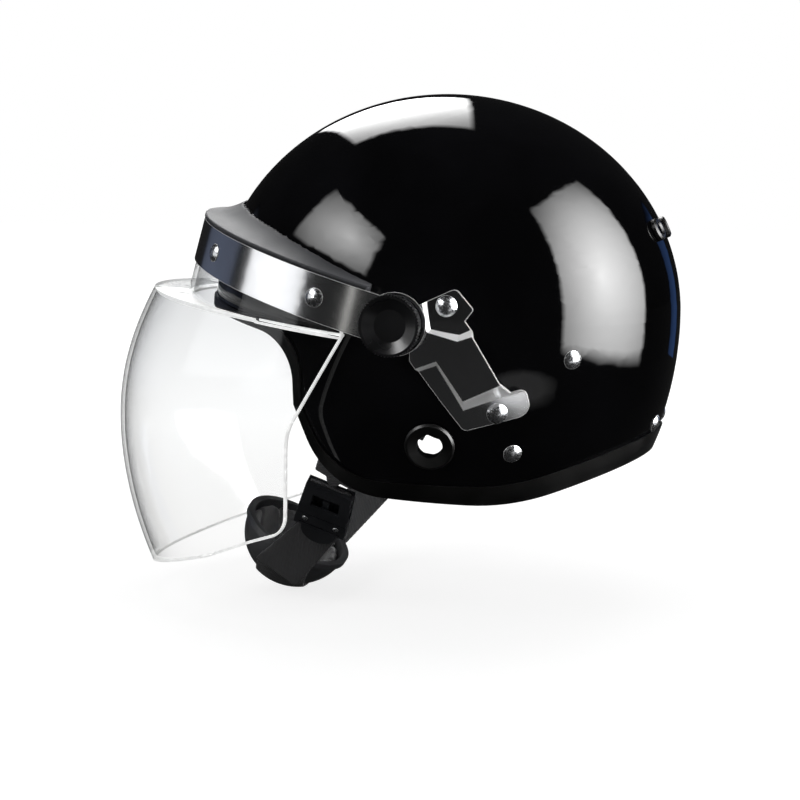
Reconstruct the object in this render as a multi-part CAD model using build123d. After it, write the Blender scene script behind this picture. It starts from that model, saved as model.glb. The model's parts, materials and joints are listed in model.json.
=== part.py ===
from build123d import *
from math import acos, atan2, cos, degrees, hypot, radians, sin, sqrt
import os

# Face-shield helmet with a hard shell. Millimetres, front towards -X, wearer's left
# towards -Y, up towards +Z. The work is laid out about the middle of the shield's
# pivot axis, and every piece is saved about the point where the crown lining rests
# on the wearer's head.

# Hard shell
shell_length = 278.0
shell_width = 240.0
crown_rise = 127.5
skirt_reach = 169.0
shell_drop = 3.0
shell_wall = 4.0

# Rim and face opening, in the side view, measured from the pivot axis
rim_rear_x = 123.0
rim_rear_z = -82.0
rim_low_x = 56.0
rim_low_z = -103.5
rim_front_x = -46.0
rim_front_z = -97.0
cheek_x = -63.5
cheek_z = -48.0
temple_x = -62.5
temple_z = -12.0
brow_x = -139.0
brow_z = 2.5
low_corner_radius = 120.0
front_corner_radius = 48.0
temple_radius = 27.0

# Rubber edge trim
trim_deep = 12.0
trim_slim = 5.0
trim_web = 2.2
trim_wrap = 1.5

# Foam and soft lining
foam_thick = 28.0
foam_gap = 0.3
foam_setback = 5.0
pad_thick = 7.0
pad_gap = 0.3
crown_pad_low = 32.0
brow_pad_low = 4.0
brow_pad_reach = 62.0
cheek_pad_front = 44.0
cheek_pad_rear = 62.0
cheek_pad_top = -14.0
cheek_pad_low = -88.0
neck_pad_top = -30.0
neck_pad_low = -76.0
neck_pad_front = 70.0

# Ear ports
ear_x = 15.6
ear_z = -66.9
ear_hole_radius = 7.0
ear_ring_radius = 13.7
ear_ring_rise = 2.4
ear_dish_depth = 1.5
ear_sleeve_wall = 2.0
ear_hollow_radius = 27.0

# Rear vents
vent_y = 20.0
vent_z = 46.5
vent_ring_radius = 6.6
vent_ring_rise = 3.2
vent_hole_radius = 3.2
vent_sleeve_wall = 1.4
vent_edge_round = 1.0

# Rivets and bolts in the shell
rivet_head_radius = 5.1
rivet_head_rise = 2.2
rivet_shank_radius = 2.0
hole_clearance = 0.1
rivet_seat_gap = 0.15
washer_radius = 6.5
washer_thick = 1.2
washer_seat_gap = 0.3
rear_rivet_x = 89.5
rear_rivet_z = -20.4
strap_rivet_x = 58.5
strap_rivet_z = -71.6
nape_rivet_y = 20.0
nape_rivet_z = -64.0

# Stamped brackets
sheet = 1.8
bracket_gap = 0.3
platform_face = 124.2
platform_depth = 30.0
platform_slope = 25.0
bend_line_drop = 9.0
ear_radius = 15.0
upper_bolt_x = 26.1
upper_bolt_z = 9.3
lower_bolt_x = 51.4
lower_bolt_z = -47.8
bolt_head_radius = 5.7
bolt_head_rise = 3.0
foot_low_x = 34.6
foot_low_z = -58.2
foot_toe_x = 69.5
foot_toe_z = -49.0
foot_heel_x = 66.5
foot_heel_z = -34.5
neck_x = 56.5
neck_z = -31.2
shoulder_x = 41.0
shoulder_z = -5.5
waist_x = 36.0
waist_z = 1.5
pad_tip_x = 40.5
pad_tip_z = 7.5
pad_top_x = 31.0
pad_top_z = 18.8
pad_side_x = 17.5
pad_side_z = 12.6
crook_x = 17.0
crook_z = -4.0
bend_x = 22.0
bend_z = -19.7
sole_x = 36.5
sole_z = -40.5

# Pivot stack, outwards from the bracket
stud_radius = 3.0
stud_head_radius = 5.5
stud_head_thick = 1.6
pivot_washer_radius = 9.0
pivot_washer_thick = 1.0
stack_gap = 0.4
running_clearance = 0.05
spring_radius = 8.0
spring_thick = 0.5
spring_rise = 0.5

# Shield band
band_reach = 153.0
band_half_width = 126.6
band_straight = 18.0
band_height = 25.0
band_thick = 1.2
band_tilt = 16.3
band_end_radius = 17.0

# Band rivets, measured along the band's own plane from the pivot axis
side_rivet_reach = 46.5
front_rivet_reach = 120.5
band_rivet_radius = 5.2
band_rivet_rise = 1.9
band_rivet_tail = 1.2

# Clear shield
visor_thick = 2.6
visor_half_width = 125.0
visor_top_reach = 178.5
visor_full_reach = 204.6
visor_full_z = -71.0
visor_top_z = 12.0
visor_low_z = -161.0
visor_low_reach = 182.5
visor_sections = 9
shelf_rear_x = -33.0
shelf_rear_z = -6.0
flange_height = 30.0
flange_gap = 0.3
visor_chin_x = -184.0
visor_chin_z = -159.5
visor_mid_x = -117.0
visor_mid_z = -138.5
visor_jaw_x = -87.0
visor_jaw_z = -126.0
visor_corner_x = -64.0
visor_corner_z = -118.0
visor_corner_radius = 26.0
visor_rear_z = -62.0
visor_tip_x = -29.0
visor_tip_z = -7.0
visor_bend_radius = 60.0

# Brow seal
seal_lip = 1.0
seal_lip_low = 12.9
seal_lip_high = 15.0
seal_rise = 14.0
seal_taper = 60.0
seal_skirt_low = -4.0
seal_step = 13.0
seal_gap = 0.5
seal_end_reach = 19.0

# Clamping knobs
knob_radius = 16.4
knob_thick = 11.2
knob_flange = 4.4
knob_body_radius = 15.0
knob_hub_radius = 8.6
knob_dish_radius = 14.6
knob_dish_depth = 3.0
knob_teeth = 60
knob_tooth_radius = 0.55
knob_bore_depth = 7.5

# Chin strap. The left strap's flat run lies in a plane that faces outwards and down.
web_width = 25.0
web_thick = 1.6
strap_bend_x = 12.0
strap_bend_z = -89.0
strap_exit_x = -46.0
strap_exit_z = -93.0
strap_lead = 2.0
strap_down_share = (-0.35, 0.55, -0.76)
strap_across_share = (0.93, 0.10, -0.35)
swing_drop = 4.0
foot_reach = 20.0

# Buckle, lengths counted down the strap from the rim
buckle_width = 31.0
socket_top_width = 28.0
socket_top = 7.0
socket_head = 6.0
socket_window = 14.0
socket_throat = 5.0
socket_thick = 7.2
socket_wall = 1.5
grip_teeth = 6
grip_tooth = 0.9
panel_length = 9.5
panel_width = 17.0
clip_length = 10.0
clip_gap = 0.4
clip_root = 4.0
arm_width = 3.4
arm_thick = 3.2
arm_reach = 17.0
arm_catch = 1.0
arm_middle = 9.6
arm_play = 1.2
arm_ramp = 5.2
arm_pin_radius = 0.9
guide_width = 4.0
guide_length = 14.0
bar_slot = 2.6
bar_width = 2.0
tab_radius = 11.0
tab_thick = 1.4
tab_lift = 2.4
pin_head_radius = 1.7
pin_head_rise = 0.9
slider_thick = 3.2
slider_length = 11.0
slider_start = 30.0

# Chin cup
cup_x = -94.0
cup_z = -144.0
cup_half_length = 33.0
cup_half_width = 41.0
cup_depth = 31.0
cup_wall = 2.4
cup_pad = 5.0
cup_lean = 32.7
cup_bead = 1.8
cup_web_offset = 8.0
cup_web_width = 30.0
cup_web_gap = 0.3
run_lead = 2.0
run_lap = 3.0

# Overrun for cuts and the far side of prisms
overrun = 60.0

left = -1
right = 1
sides = {"left": left, "right": right}


def save(shape, name):
    """Write one sub-part, moved so that the crown seat on the head is the origin."""
    seat_height = crown_rise - shell_drop - shell_wall - foam_gap - foam_thick - pad_gap - pad_thick
    export_step(Pos(0, 0, -seat_height) * shape, os.path.join("parts", name + ".step"))


def egg(grow):
    """Closed oval form of the shell: two half ellipsoids that meet on its widest line."""
    long = shell_length / 2 + grow
    wide = shell_width / 2 + grow
    upper = scale(Sphere(1, arc_size1=0, align=None), by=(long, wide, crown_rise + grow))
    lower = scale(Sphere(1, arc_size2=0, align=None), by=(long, wide, skirt_reach + grow))
    return Pos(0, 0, -shell_drop) * (upper + lower)


def half_width_at(x, z, grow=0):
    """Half width of the oval form at a place in the side view."""
    height = z + shell_drop
    rise = crown_rise if height > 0 else skirt_reach
    share = 1 - (x / (shell_length / 2 + grow)) ** 2 - (height / (rise + grow)) ** 2
    return (shell_width / 2 + grow) * sqrt(share)


def seat(x, z, side, grow=0):
    """Plane on the oval form, with its Z axis square to the surface."""
    y = side * half_width_at(x, z, grow)
    height = z + shell_drop
    rise = crown_rise if height > 0 else skirt_reach
    normal = Vector(
        x / (shell_length / 2 + grow) ** 2,
        y / (shell_width / 2 + grow) ** 2,
        height / (rise + grow) ** 2,
    )
    return Plane(origin=(x, y, z), x_dir=(normal.Z, 0, -normal.X), z_dir=normal)


def rear_seat(y, z, grow=0):
    """The same kind of plane at the back of the shell, found from a Y and a Z."""
    height = z + shell_drop
    rise = crown_rise if height > 0 else skirt_reach
    share = 1 - (y / (shell_width / 2 + grow)) ** 2 - (height / (rise + grow)) ** 2
    x = (shell_length / 2 + grow) * sqrt(share)
    normal = Vector(
        x / (shell_length / 2 + grow) ** 2,
        y / (shell_width / 2 + grow) ** 2,
        height / (rise + grow) ** 2,
    )
    return Plane(origin=(x, y, z), x_dir=(0, 1, 0), z_dir=normal)


def outline(corners):
    """Straight-sided face that always looks up its local Z axis."""
    face = make_face(Polyline(*corners, close=True))
    return face if face.faces()[0].normal_at().Z > 0 else -face


def side_prism(face, near, far):
    """Prism of a side-view outline between two distances from the middle plane."""
    return extrude(Plane.XZ.offset(near) * face, far - near)


def one_side(face, side):
    """Prism of a side-view outline through one side of the shell only."""
    near = shell_width / 4
    far = shell_width / 2 + overrun
    return side_prism(face, near, far) if side == left else side_prism(face, -far, -near)


def rounded_outline(corners, radii):
    """Face with straight sides, some of its corners rounded."""
    face = outline(corners)
    for place, radius in radii:
        corner = face.vertices().sort_by_distance((place[0], place[1], 0))[0]
        face = fillet(corner, radius)
    return face


def rim_region(deep, slim):
    """Side-view region below the rim and in front of the face opening, grown by
    one width along the bottom and another along the face."""
    reach = shell_length / 2 + overrun
    slope_rear = (rim_rear_z - rim_low_z) / (rim_rear_x - rim_low_x)
    rear = (reach, rim_rear_z + slope_rear * (reach - rim_rear_x) + deep)
    low = (rim_low_x, rim_low_z + deep)
    front = (rim_front_x + slim, rim_front_z + (deep + slim) / 2)
    cheek = (cheek_x + slim, cheek_z)
    temple = (temple_x + slim, temple_z + slim)
    slope_brow = (brow_z - temple_z) / (brow_x - temple_x)
    brow = (-reach, brow_z + slope_brow * (brow_x + reach) * -1 + slim)
    floor = -skirt_reach - overrun
    corners = [rear, low, front, cheek, temple, brow, (-reach, floor), (reach, floor)]
    radii = [(low, low_corner_radius), (front, front_corner_radius - slim), (temple, temple_radius)]
    return rounded_outline(corners, radii)


def rim_cut(deep, slim):
    """Solid that trims anything to the rim and opens the face."""
    reach = shell_width / 2 + overrun
    return side_prism(rim_region(deep, slim), -reach, reach)


def dome(radius, rise):
    """Round rivet or bolt head, flat side on the local XY plane."""
    ball = (radius**2 + rise**2) / (2 * rise)
    return split(Pos(0, 0, rise - ball) * Sphere(ball), bisect_by=Plane.XY, keep=Keep.TOP)


def fastener(radius, rise, grip):
    """Round head with a shank that runs down through what it holds."""
    shank = Cylinder(rivet_shank_radius, grip, align=(Align.CENTER, Align.CENTER, Align.MAX))
    return Pos(0, 0, rivet_seat_gap) * (dome(radius, rise) + shank)


def down_bore(radius, depth):
    """Hole from just above the local XY plane down to a depth."""
    tall = depth + overrun / 4
    return Pos(0, 0, overrun / 4 - tall / 2) * Cylinder(radius, tall)


def shell_rivet_seats(grow=0):
    """Three rivets a side: behind the bracket, at the strap and at the nape."""
    seats = []
    for side in sides.values():
        seats.append(seat(rear_rivet_x, rear_rivet_z, side, grow))
        seats.append(seat(strap_rivet_x, strap_rivet_z, side, grow))
        seats.append(rear_seat(side * nape_rivet_y, nape_rivet_z, grow))
    return seats


def bracket_bolt_seats(grow=0):
    """Two bolts a side, one in the upper pad and one in the foot."""
    seats = []
    for side in sides.values():
        seats.append(seat(upper_bolt_x, upper_bolt_z, side, grow))
        seats.append(seat(lower_bolt_x, lower_bolt_z, side, grow))
    return seats


def vent_seats():
    """Two vents high at the back."""
    return [rear_seat(side * vent_y, vent_z) for side in sides.values()]


def ear_seats():
    """One ear port a side."""
    return [seat(ear_x, ear_z, side) for side in sides.values()]


def outer_shell():
    """Moulded shell with its ports, vents and fastener holes."""
    body = egg(0) - egg(-shell_wall) - rim_cut(trim_web, trim_web)
    hole = rivet_shank_radius + hole_clearance
    for place in shell_rivet_seats() + bracket_bolt_seats():
        body -= place.location * down_bore(hole, shell_wall * 3)
    for place in vent_seats():
        sleeve = vent_hole_radius + vent_sleeve_wall + hole_clearance
        body -= place.location * down_bore(sleeve, shell_wall * 3)
    for place in ear_seats():
        sleeve = ear_hole_radius + ear_sleeve_wall + hole_clearance
        body -= place.location * down_bore(sleeve, shell_wall * 3)
    return body


def edge_trim(shell):
    """U-shaped rubber trim, deep along the bottom and slim along the face."""
    layer = egg(trim_wrap) - egg(-shell_wall - trim_wrap)
    return (layer & rim_cut(trim_deep, trim_slim)) - rim_cut(0, 0) - shell


def strip(start, end, half):
    """Straight strip of a given half width between two places."""
    run = end[0] - start[0]
    drop = end[1] - start[1]
    middle = Pos((start[0] + end[0]) / 2, (start[1] + end[1]) / 2)
    turn = Rot(0, 0, degrees(atan2(drop, run)))
    return middle * turn * Rectangle(hypot(run, drop), half * 2)


def strap_lane(grow):
    """Side-view strip that the upper webbing follows under the ear port to the rim."""
    half = web_width / 2 + grow
    head = (strap_rivet_x + web_width / 2, strap_rivet_z + web_width / 5)
    bend = (strap_bend_x, strap_bend_z)
    foot = (strap_exit_x, strap_exit_z)
    return strip(head, bend, half) + Pos(*bend) * Circle(half) + strip(bend, foot, half)


def strap_foot(grow):
    """Side-view shape of the webbing where it leaves the rim. Its round end is centred on
    the line that the free webbing swings about."""
    run = hypot(strap_down_share[0], strap_down_share[2])
    up_x = strap_exit_x - strap_down_share[0] / run * foot_reach
    up_z = strap_exit_z - strap_down_share[2] / run * foot_reach
    end = Pos(strap_exit_x, strap_exit_z) * Circle((swing_drop + strap_lead) * run - foam_gap * 2)
    return strip((up_x, up_z), (strap_exit_x, strap_exit_z), web_width / 2 + grow) + end


def upper_strap(side):
    """Webbing that lies inside the shell, from its rivet forward and down past the rim."""
    outer = -shell_wall - trim_wrap - foam_gap
    lane = one_side(strap_lane(0), side) - rim_cut(trim_web, trim_web)
    lane = lane + one_side(strap_foot(0), side)
    body = (lane & egg(outer)) - egg(outer - web_thick)
    hole = rivet_shank_radius + hole_clearance
    return body - seat(strap_rivet_x, strap_rivet_z, side).location * down_bore(hole, shell_wall * 4)


def strap_channel():
    """Room that the foam leaves for the webbing, its rivets and its washers."""
    outer = -shell_wall + foam_gap
    deep = -shell_wall - trim_wrap - foam_gap - web_thick - washer_thick - foam_gap
    layer = egg(outer) - egg(deep)
    reach = shell_width / 2 + overrun
    spare = foam_gap * 3
    return layer & side_prism(strap_lane(spare) + strap_foot(spare), -reach, reach)


def foam_liners():
    """The two halves of the impact foam, hollowed at the ears and relieved for what lies
    under them. They meet face to face in the middle plane."""
    outer = -shell_wall - foam_gap
    body = egg(outer) - egg(outer - foam_thick)
    body -= rim_cut(trim_deep + foam_gap * 2, trim_slim + foam_setback)
    body -= strap_channel()
    for place in ear_seats():
        body -= place.location * down_bore(ear_hollow_radius, foam_thick * 2)
    for place in vent_seats():
        body -= place.location * down_bore(vent_hole_radius + vent_sleeve_wall * 2, foam_thick * 2)
    pocket = washer_radius + foam_gap * 2
    deep = shell_wall + trim_wrap + web_thick + (washer_seat_gap + washer_thick) * 2
    for place in shell_rivet_seats() + bracket_bolt_seats():
        body -= place.location * down_bore(pocket, deep)
    reach = shell_length * 2
    halves = {}
    for name, align in (("left", Align.MAX), ("right", Align.MIN)):
        halves[name] = body & Box(reach, reach, reach, align=(Align.CENTER, align, Align.CENTER))
    return halves


def lining_layer():
    """Layer of soft lining on the inner face of the foam."""
    outer = -shell_wall - foam_gap - foam_thick - pad_gap
    return egg(outer) - egg(outer - pad_thick)


def slab(low, high):
    """Everything between two heights."""
    wide = shell_length * 2
    return Pos(0, 0, (low + high) / 2) * Box(wide, wide, high - low)


def crown_pad():
    """Padded cap that rests on the head."""
    return lining_layer() & slab(crown_pad_low, crown_rise + overrun)


def brow_pad():
    """Sweat pad across the forehead."""
    front = Pos(-brow_pad_reach - overrun, 0, 0) * Box(overrun * 2, shell_width, crown_rise * 2)
    band = lining_layer() & slab(brow_pad_low, crown_pad_low - pad_gap) & front
    return band - rim_cut(0, trim_slim + foam_setback)


def cheek_pad(side):
    """Pad beside the cheek, open round the ear."""
    long = cheek_pad_front + cheek_pad_rear
    middle_x = (cheek_pad_rear - cheek_pad_front) / 2
    tall = cheek_pad_top - cheek_pad_low
    middle_z = (cheek_pad_top + cheek_pad_low) / 2
    block = Pos(middle_x, side * shell_width / 2, middle_z) * Box(long, shell_width - overrun, tall)
    body = lining_layer() & block
    body -= rim_cut(trim_deep + foam_gap * 2, trim_slim + foam_setback)
    hollow = ear_hollow_radius - pad_thick / 2
    body -= seat(ear_x, ear_z, side).location * down_bore(hollow, foam_thick * 2)
    return body


def neck_pad():
    """Roll at the nape."""
    block = Pos(neck_pad_front + overrun, 0, 0) * Box(overrun * 2, shell_width, skirt_reach * 2)
    body = lining_layer() & slab(neck_pad_low, neck_pad_top) & block
    return body - rim_cut(trim_deep + foam_gap * 2, trim_slim + foam_setback)


def ring(section):
    """Turned ring from a half section drawn in radius and height."""
    return revolve(Plane.XZ * outline(section), Axis.Z)


def ear_grommets():
    """Dished rubber rings with a sleeve through the shell."""
    sleeve = ear_hole_radius + ear_sleeve_wall
    seat_z = rivet_seat_gap * 5
    section = [
        (ear_hole_radius, -shell_wall),
        (sleeve, -shell_wall),
        (sleeve, seat_z),
        (ear_ring_radius, seat_z),
        (ear_ring_radius, seat_z + ear_ring_rise / 2),
        (ear_ring_radius - ear_sleeve_wall / 2, seat_z + ear_ring_rise),
        (ear_ring_radius - ear_sleeve_wall, seat_z + ear_ring_rise),
        (ear_hole_radius + ear_sleeve_wall / 2, seat_z + ear_ring_rise - ear_dish_depth),
        (ear_hole_radius, seat_z + ear_ring_rise - ear_dish_depth * 1.3),
    ]
    return Compound([place.location * ring(section) for place in ear_seats()])


def vent_grommets():
    """Thick rubber rings in the two rear vents."""
    sleeve = vent_hole_radius + vent_sleeve_wall
    seat_z = rivet_seat_gap * 2
    section = [
        (vent_hole_radius, -shell_wall),
        (sleeve, -shell_wall),
        (sleeve, seat_z),
        (vent_ring_radius, seat_z),
        (vent_ring_radius, vent_ring_rise - vent_edge_round),
        (vent_ring_radius - vent_edge_round, vent_ring_rise),
        (vent_hole_radius + vent_edge_round, vent_ring_rise),
        (vent_hole_radius, vent_ring_rise - vent_edge_round),
    ]
    return Compound([place.location * ring(section) for place in vent_seats()])


def shell_rivets():
    """Round-head rivets through the shell."""
    grip = shell_wall + trim_wrap + web_thick + foam_gap + washer_thick + rivet_seat_gap * 2
    body = fastener(rivet_head_radius, rivet_head_rise, grip)
    return Compound([place.location * body for place in shell_rivet_seats()])


def washer(radius, bore, thick):
    """Flat washer, upper face on the local XY plane."""
    disc = Cylinder(radius, thick, align=(Align.CENTER, Align.CENTER, Align.MAX))
    return disc - Cylinder(bore, thick * 3)


def rivet_washers():
    """Washers that the shell fasteners are closed over."""
    bore = rivet_shank_radius + hole_clearance
    plain = washer(washer_radius, bore, washer_thick)
    places = []
    for place in shell_rivet_seats():
        on_strap = abs(place.origin.X - strap_rivet_x) < hole_clearance
        depth = shell_wall + washer_seat_gap
        if on_strap:
            depth += trim_wrap + web_thick + foam_gap
        places.append(place.offset(-depth).location * plain)
    for place in bracket_bolt_seats():
        places.append(place.offset(-shell_wall - washer_seat_gap).location * plain)
    return Compound(places)


def platform_face_outline(shrink):
    """Flat raised part of the bracket. It runs past the sheet's open edges."""
    past = ear_radius * 1.5
    corners = [
        (-past, -past),
        (-past, past),
        (crook_x - past / 5, past),
        (crook_x, crook_z),
        (shoulder_x - ear_radius / 2, shoulder_z - bend_line_drop / 3),
        (shoulder_x + past, shoulder_z + past / 3),
        (neck_x + past, neck_z + past / 2),
        (neck_x, neck_z),
        (sole_x, sole_z),
        (bend_x, bend_z),
        (bend_x - ear_radius, bend_z - past / 4),
    ]
    face = outline(corners)
    return offset(face, amount=-shrink, kind=Kind.INTERSECTION) if shrink else face


def bracket_outline():
    """Blank of the bracket in the side view, with the disc that carries the stud."""
    blank = rounded_outline(
        [
            (ear_radius / 2, -ear_radius * 1.3),
            (foot_low_x, foot_low_z),
            (foot_toe_x, foot_toe_z),
            (foot_heel_x, foot_heel_z),
            (foot_heel_x - ear_radius / 2, foot_heel_z - ear_radius / 7),
            (neck_x, neck_z),
            (shoulder_x, shoulder_z),
            (waist_x, waist_z),
            (pad_tip_x, pad_tip_z),
            (pad_top_x, pad_top_z),
            (pad_side_x, pad_side_z),
            (ear_radius / 2, ear_radius / 2),
        ],
        [
            ((foot_low_x, foot_low_z), sheet * 2),
            ((foot_toe_x, foot_toe_z), ear_radius / 2),
            ((foot_heel_x, foot_heel_z), sheet * 2),
            ((pad_tip_x, pad_tip_z), sheet),
            ((pad_top_x, pad_top_z), sheet * 2),
        ],
    )
    return blank + Circle(ear_radius)


def bracket(side):
    """Sheet drawn over the shell and over a raised platform, cut to its blank."""
    high = platform_face
    low = platform_face - sheet
    thin = sheet * (1 - sin(radians(platform_slope))) / cos(radians(platform_slope))
    outer_block = extrude(
        Plane.XZ.offset(high) * platform_face_outline(0),
        -platform_depth,
        taper=-platform_slope,
    )
    inner_block = extrude(
        Plane.XZ.offset(low) * platform_face_outline(thin),
        -platform_depth,
        taper=-platform_slope,
    )
    blank = side_prism(bracket_outline(), platform_face - platform_depth, platform_face + overrun)
    body = (blank & egg(bracket_gap + sheet)) + (blank & outer_block)
    body = body - inner_block - egg(bracket_gap)
    body -= Plane.XZ.offset(high).location * down_bore(stud_radius + hole_clearance, sheet * 3)
    hole = rivet_shank_radius + hole_clearance
    for x, z in ((upper_bolt_x, upper_bolt_z), (lower_bolt_x, lower_bolt_z)):
        body -= seat(x, z, left).location * down_bore(hole, shell_wall)
    return body if side == left else mirror(body, about=Plane.XZ)


def bracket_bolts():
    """Round-head bolts through each bracket and the shell."""
    rise = bracket_gap + sheet + rivet_seat_gap
    body = fastener(bolt_head_radius, bolt_head_rise, rise + shell_wall + washer_thick * 1.5)
    return Compound([place.offset(rise).location * body for place in bracket_bolt_seats()])


def on_pivot(shape, side, distance):
    """Set a turned piece on the pivot axis, its own Z pointing outwards."""
    plane = Plane(origin=(0, side * distance, 0), x_dir=(-side, 0, 0), z_dir=(0, side, 0))
    return plane.location * shape


def band_inner_face():
    """Distance from the middle plane to the inner face of the band's ends."""
    return band_half_width - band_thick / 2


def pivot_stud(side):
    """Threaded stud with its head behind the bracket."""
    behind = platform_face - sheet - rivet_seat_gap
    tip = band_inner_face() + band_thick + stack_gap * 2 + knob_bore_depth - spring_rise
    head = Cylinder(stud_head_radius, stud_head_thick, align=(Align.CENTER, Align.CENTER, Align.MAX))
    shank = Cylinder(stud_radius, tip - behind, align=(Align.CENTER, Align.CENTER, Align.MIN))
    return on_pivot(head + shank, side, behind)


def pivot_washers():
    """Flat washers between bracket and band."""
    bore = stud_radius + running_clearance
    thick = band_inner_face() - platform_face - foam_gap * 2
    plain = washer(pivot_washer_radius, bore, thick)
    top = band_inner_face() - foam_gap
    return Compound([on_pivot(plain, side, top) for side in sides.values()])


def friction_springs():
    """Coned spring washers between band and knob."""
    bore = stud_radius + running_clearance
    section = [
        (bore, spring_rise),
        (spring_radius, 0),
        (spring_radius, spring_thick),
        (bore, spring_rise + spring_thick),
    ]
    start = band_inner_face() + band_thick + stack_gap / 2
    return Compound([on_pivot(ring(section), side, start) for side in sides.values()])


def band_frame():
    """Plane of the band: its X axis runs forward and up, its Z axis square to it."""
    lean = radians(band_tilt)
    return Plane(origin=(0, 0, 0), x_dir=(-cos(lean), 0, sin(lean)), z_dir=(sin(lean), 0, cos(lean)))


def horseshoe(grow, start=0):
    """Plan of the band: half an oval in front of two straight arms."""
    reach = band_reach + grow - band_straight
    half = band_half_width + grow
    oval = Pos(band_straight, 0) * Ellipse(reach, half)
    keep = Pos(band_straight + reach / 2, 0) * Rectangle(reach, half * 2)
    arms = Pos((start + band_straight) / 2, 0) * Rectangle(band_straight - start, half * 2)
    return (oval & keep) + arms


def band_prism(face, low, high):
    """Prism square to the band's plane between two heights."""
    return band_frame().offset(low).location * extrude(face, high - low)


def band_point(reach):
    """Place and outward direction on the band's middle line, at a forward reach."""
    ahead = (reach - band_straight) / (band_reach - band_straight)
    half = band_half_width * sqrt(1 - ahead**2)
    slope_u = ahead / (band_reach - band_straight)
    slope_v = half / band_half_width**2
    return half, Vector(slope_u, slope_v, 0).normalized()


def band_rivet_frames():
    """Five rivets: two a side and one at the middle of the brow."""
    frames = []
    for reach in (side_rivet_reach, front_rivet_reach):
        half, out = band_point(reach)
        for side in sides.values():
            # the band plane's own Y axis points to the wearer's left
            place = Vector(reach, -side * half, 0)
            direction = Vector(out.X, -side * out.Y, 0)
            frames.append((place, direction))
    frames.append((Vector(band_reach, 0, 0), Vector(1, 0, 0)))
    result = []
    for place, direction in frames:
        local = Plane(origin=place + direction * (band_thick / 2), z_dir=direction)
        result.append(band_frame().location * local.location)
    return result


def shield_band():
    """Polished strip with round ends, bored for the studs and its rivets."""
    hoop = horseshoe(band_thick / 2) - horseshoe(-band_thick / 2)
    body = band_prism(hoop, -band_height / 2, band_height / 2)
    for side in sides.values():
        disc = Cylinder(band_end_radius, band_thick, align=(Align.CENTER, Align.CENTER, Align.MIN))
        body += on_pivot(disc, side, band_inner_face())
    for side in sides.values():
        bore = Cylinder(stud_radius + running_clearance, overrun)
        body -= on_pivot(bore, side, band_half_width)
    for place in band_rivet_frames():
        body -= place * down_bore(rivet_shank_radius + hole_clearance, band_thick * 4)
    return body


def band_rivets():
    """Rivets through band, shield and seal, closed by a flat tail."""
    grip = band_thick + flange_gap + visor_thick + flange_gap
    body = fastener(band_rivet_radius, band_rivet_rise, grip)
    tail = Cylinder(rivet_head_radius * 3 / 4, band_rivet_tail, align=(Align.CENTER, Align.CENTER, Align.MAX))
    body += Pos(0, 0, -grip) * tail
    return Compound([place * body for place in band_rivet_frames()])


def visor_reach(z):
    """Forward reach of the bubble's outer face at a height."""
    if z > visor_full_z:
        share = (z - visor_full_z) / (visor_top_z - visor_full_z)
        return visor_full_reach - (visor_full_reach - visor_top_reach) * share**2
    share = (visor_full_z - z) / (visor_full_z - visor_low_z)
    return visor_full_reach - (visor_full_reach - visor_low_reach) * share**2


def bubble(inset):
    """Closed form of the shield, stacked from ovals."""
    top = visor_top_z + overrun / 4
    low = visor_low_z - overrun / 4
    ovals = []
    for step in range(visor_sections):
        z = low + (top - low) * step / (visor_sections - 1)
        oval = Ellipse(visor_reach(z) - inset, visor_half_width - inset)
        ovals.append(Pos(0, 0, z) * oval)
    return loft(ovals)


def shelf_height(x):
    """Height of the shelf at the top of the bubble, over a place in the side view."""
    slope = (visor_top_z - shelf_rear_z) / (visor_top_reach + shelf_rear_x)
    return shelf_rear_z + slope * (shelf_rear_x - x)


def visor_side_region():
    """Side view of the clear shield: its lower edge, its corner and its rear edge."""
    front = -visor_full_reach - overrun
    corners = [
        (front, visor_chin_z),
        (visor_chin_x, visor_chin_z),
        (visor_mid_x, visor_mid_z),
        (visor_jaw_x, visor_jaw_z),
        (visor_corner_x, visor_corner_z),
        (visor_corner_x + visor_thick / 2, visor_rear_z),
        (visor_tip_x, visor_tip_z),
        (visor_tip_x - band_height / 5, overrun * 2),
        (front, overrun * 2),
    ]
    radii = [
        ((visor_mid_x, visor_mid_z), visor_bend_radius * 2),
        ((visor_jaw_x, visor_jaw_z), visor_bend_radius / 3),
        ((visor_corner_x, visor_corner_z), visor_corner_radius / 2),
        ((visor_corner_x + visor_thick / 2, visor_rear_z), visor_bend_radius / 2),
        ((visor_tip_x, visor_tip_z), visor_thick),
    ]
    return rounded_outline(corners, radii)


def below_shelf(lift):
    """Everything under the shelf's plane, raised by a lift."""
    long = visor_full_reach + overrun
    floor = -skirt_reach - overrun
    face = outline(
        [
            (-long, shelf_height(-long) + lift),
            (overrun, shelf_height(overrun) + lift),
            (overrun, floor),
            (-long, floor),
        ]
    )
    reach = shell_width / 2 + overrun
    return side_prism(face, -reach, reach)


def visor():
    """Clear bubble with a shelf at its top and a flange that the band is riveted to."""
    outer = bubble(0)
    shell = (outer - bubble(visor_thick)) & below_shelf(0)
    hold = band_thick / 2 + flange_gap
    flange_top = seal_skirt_low + flange_height / 3
    flange = horseshoe(-hold) - horseshoe(-hold - visor_thick)
    riser = band_prism(flange, flange_top - flange_height * 2, flange_top) - below_shelf(-visor_thick)
    opening = band_prism(horseshoe(-hold - visor_thick), -overrun * 2, overrun)
    shelf = (outer & below_shelf(0)) - below_shelf(-visor_thick) - opening
    body = shell + shelf + riser
    reach = shell_width / 2 + overrun
    body = body & side_prism(visor_side_region(), -reach, reach)
    for place in band_rivet_frames():
        body -= place * down_bore(rivet_shank_radius + hole_clearance, band_thick * 8)
    return body


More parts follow.
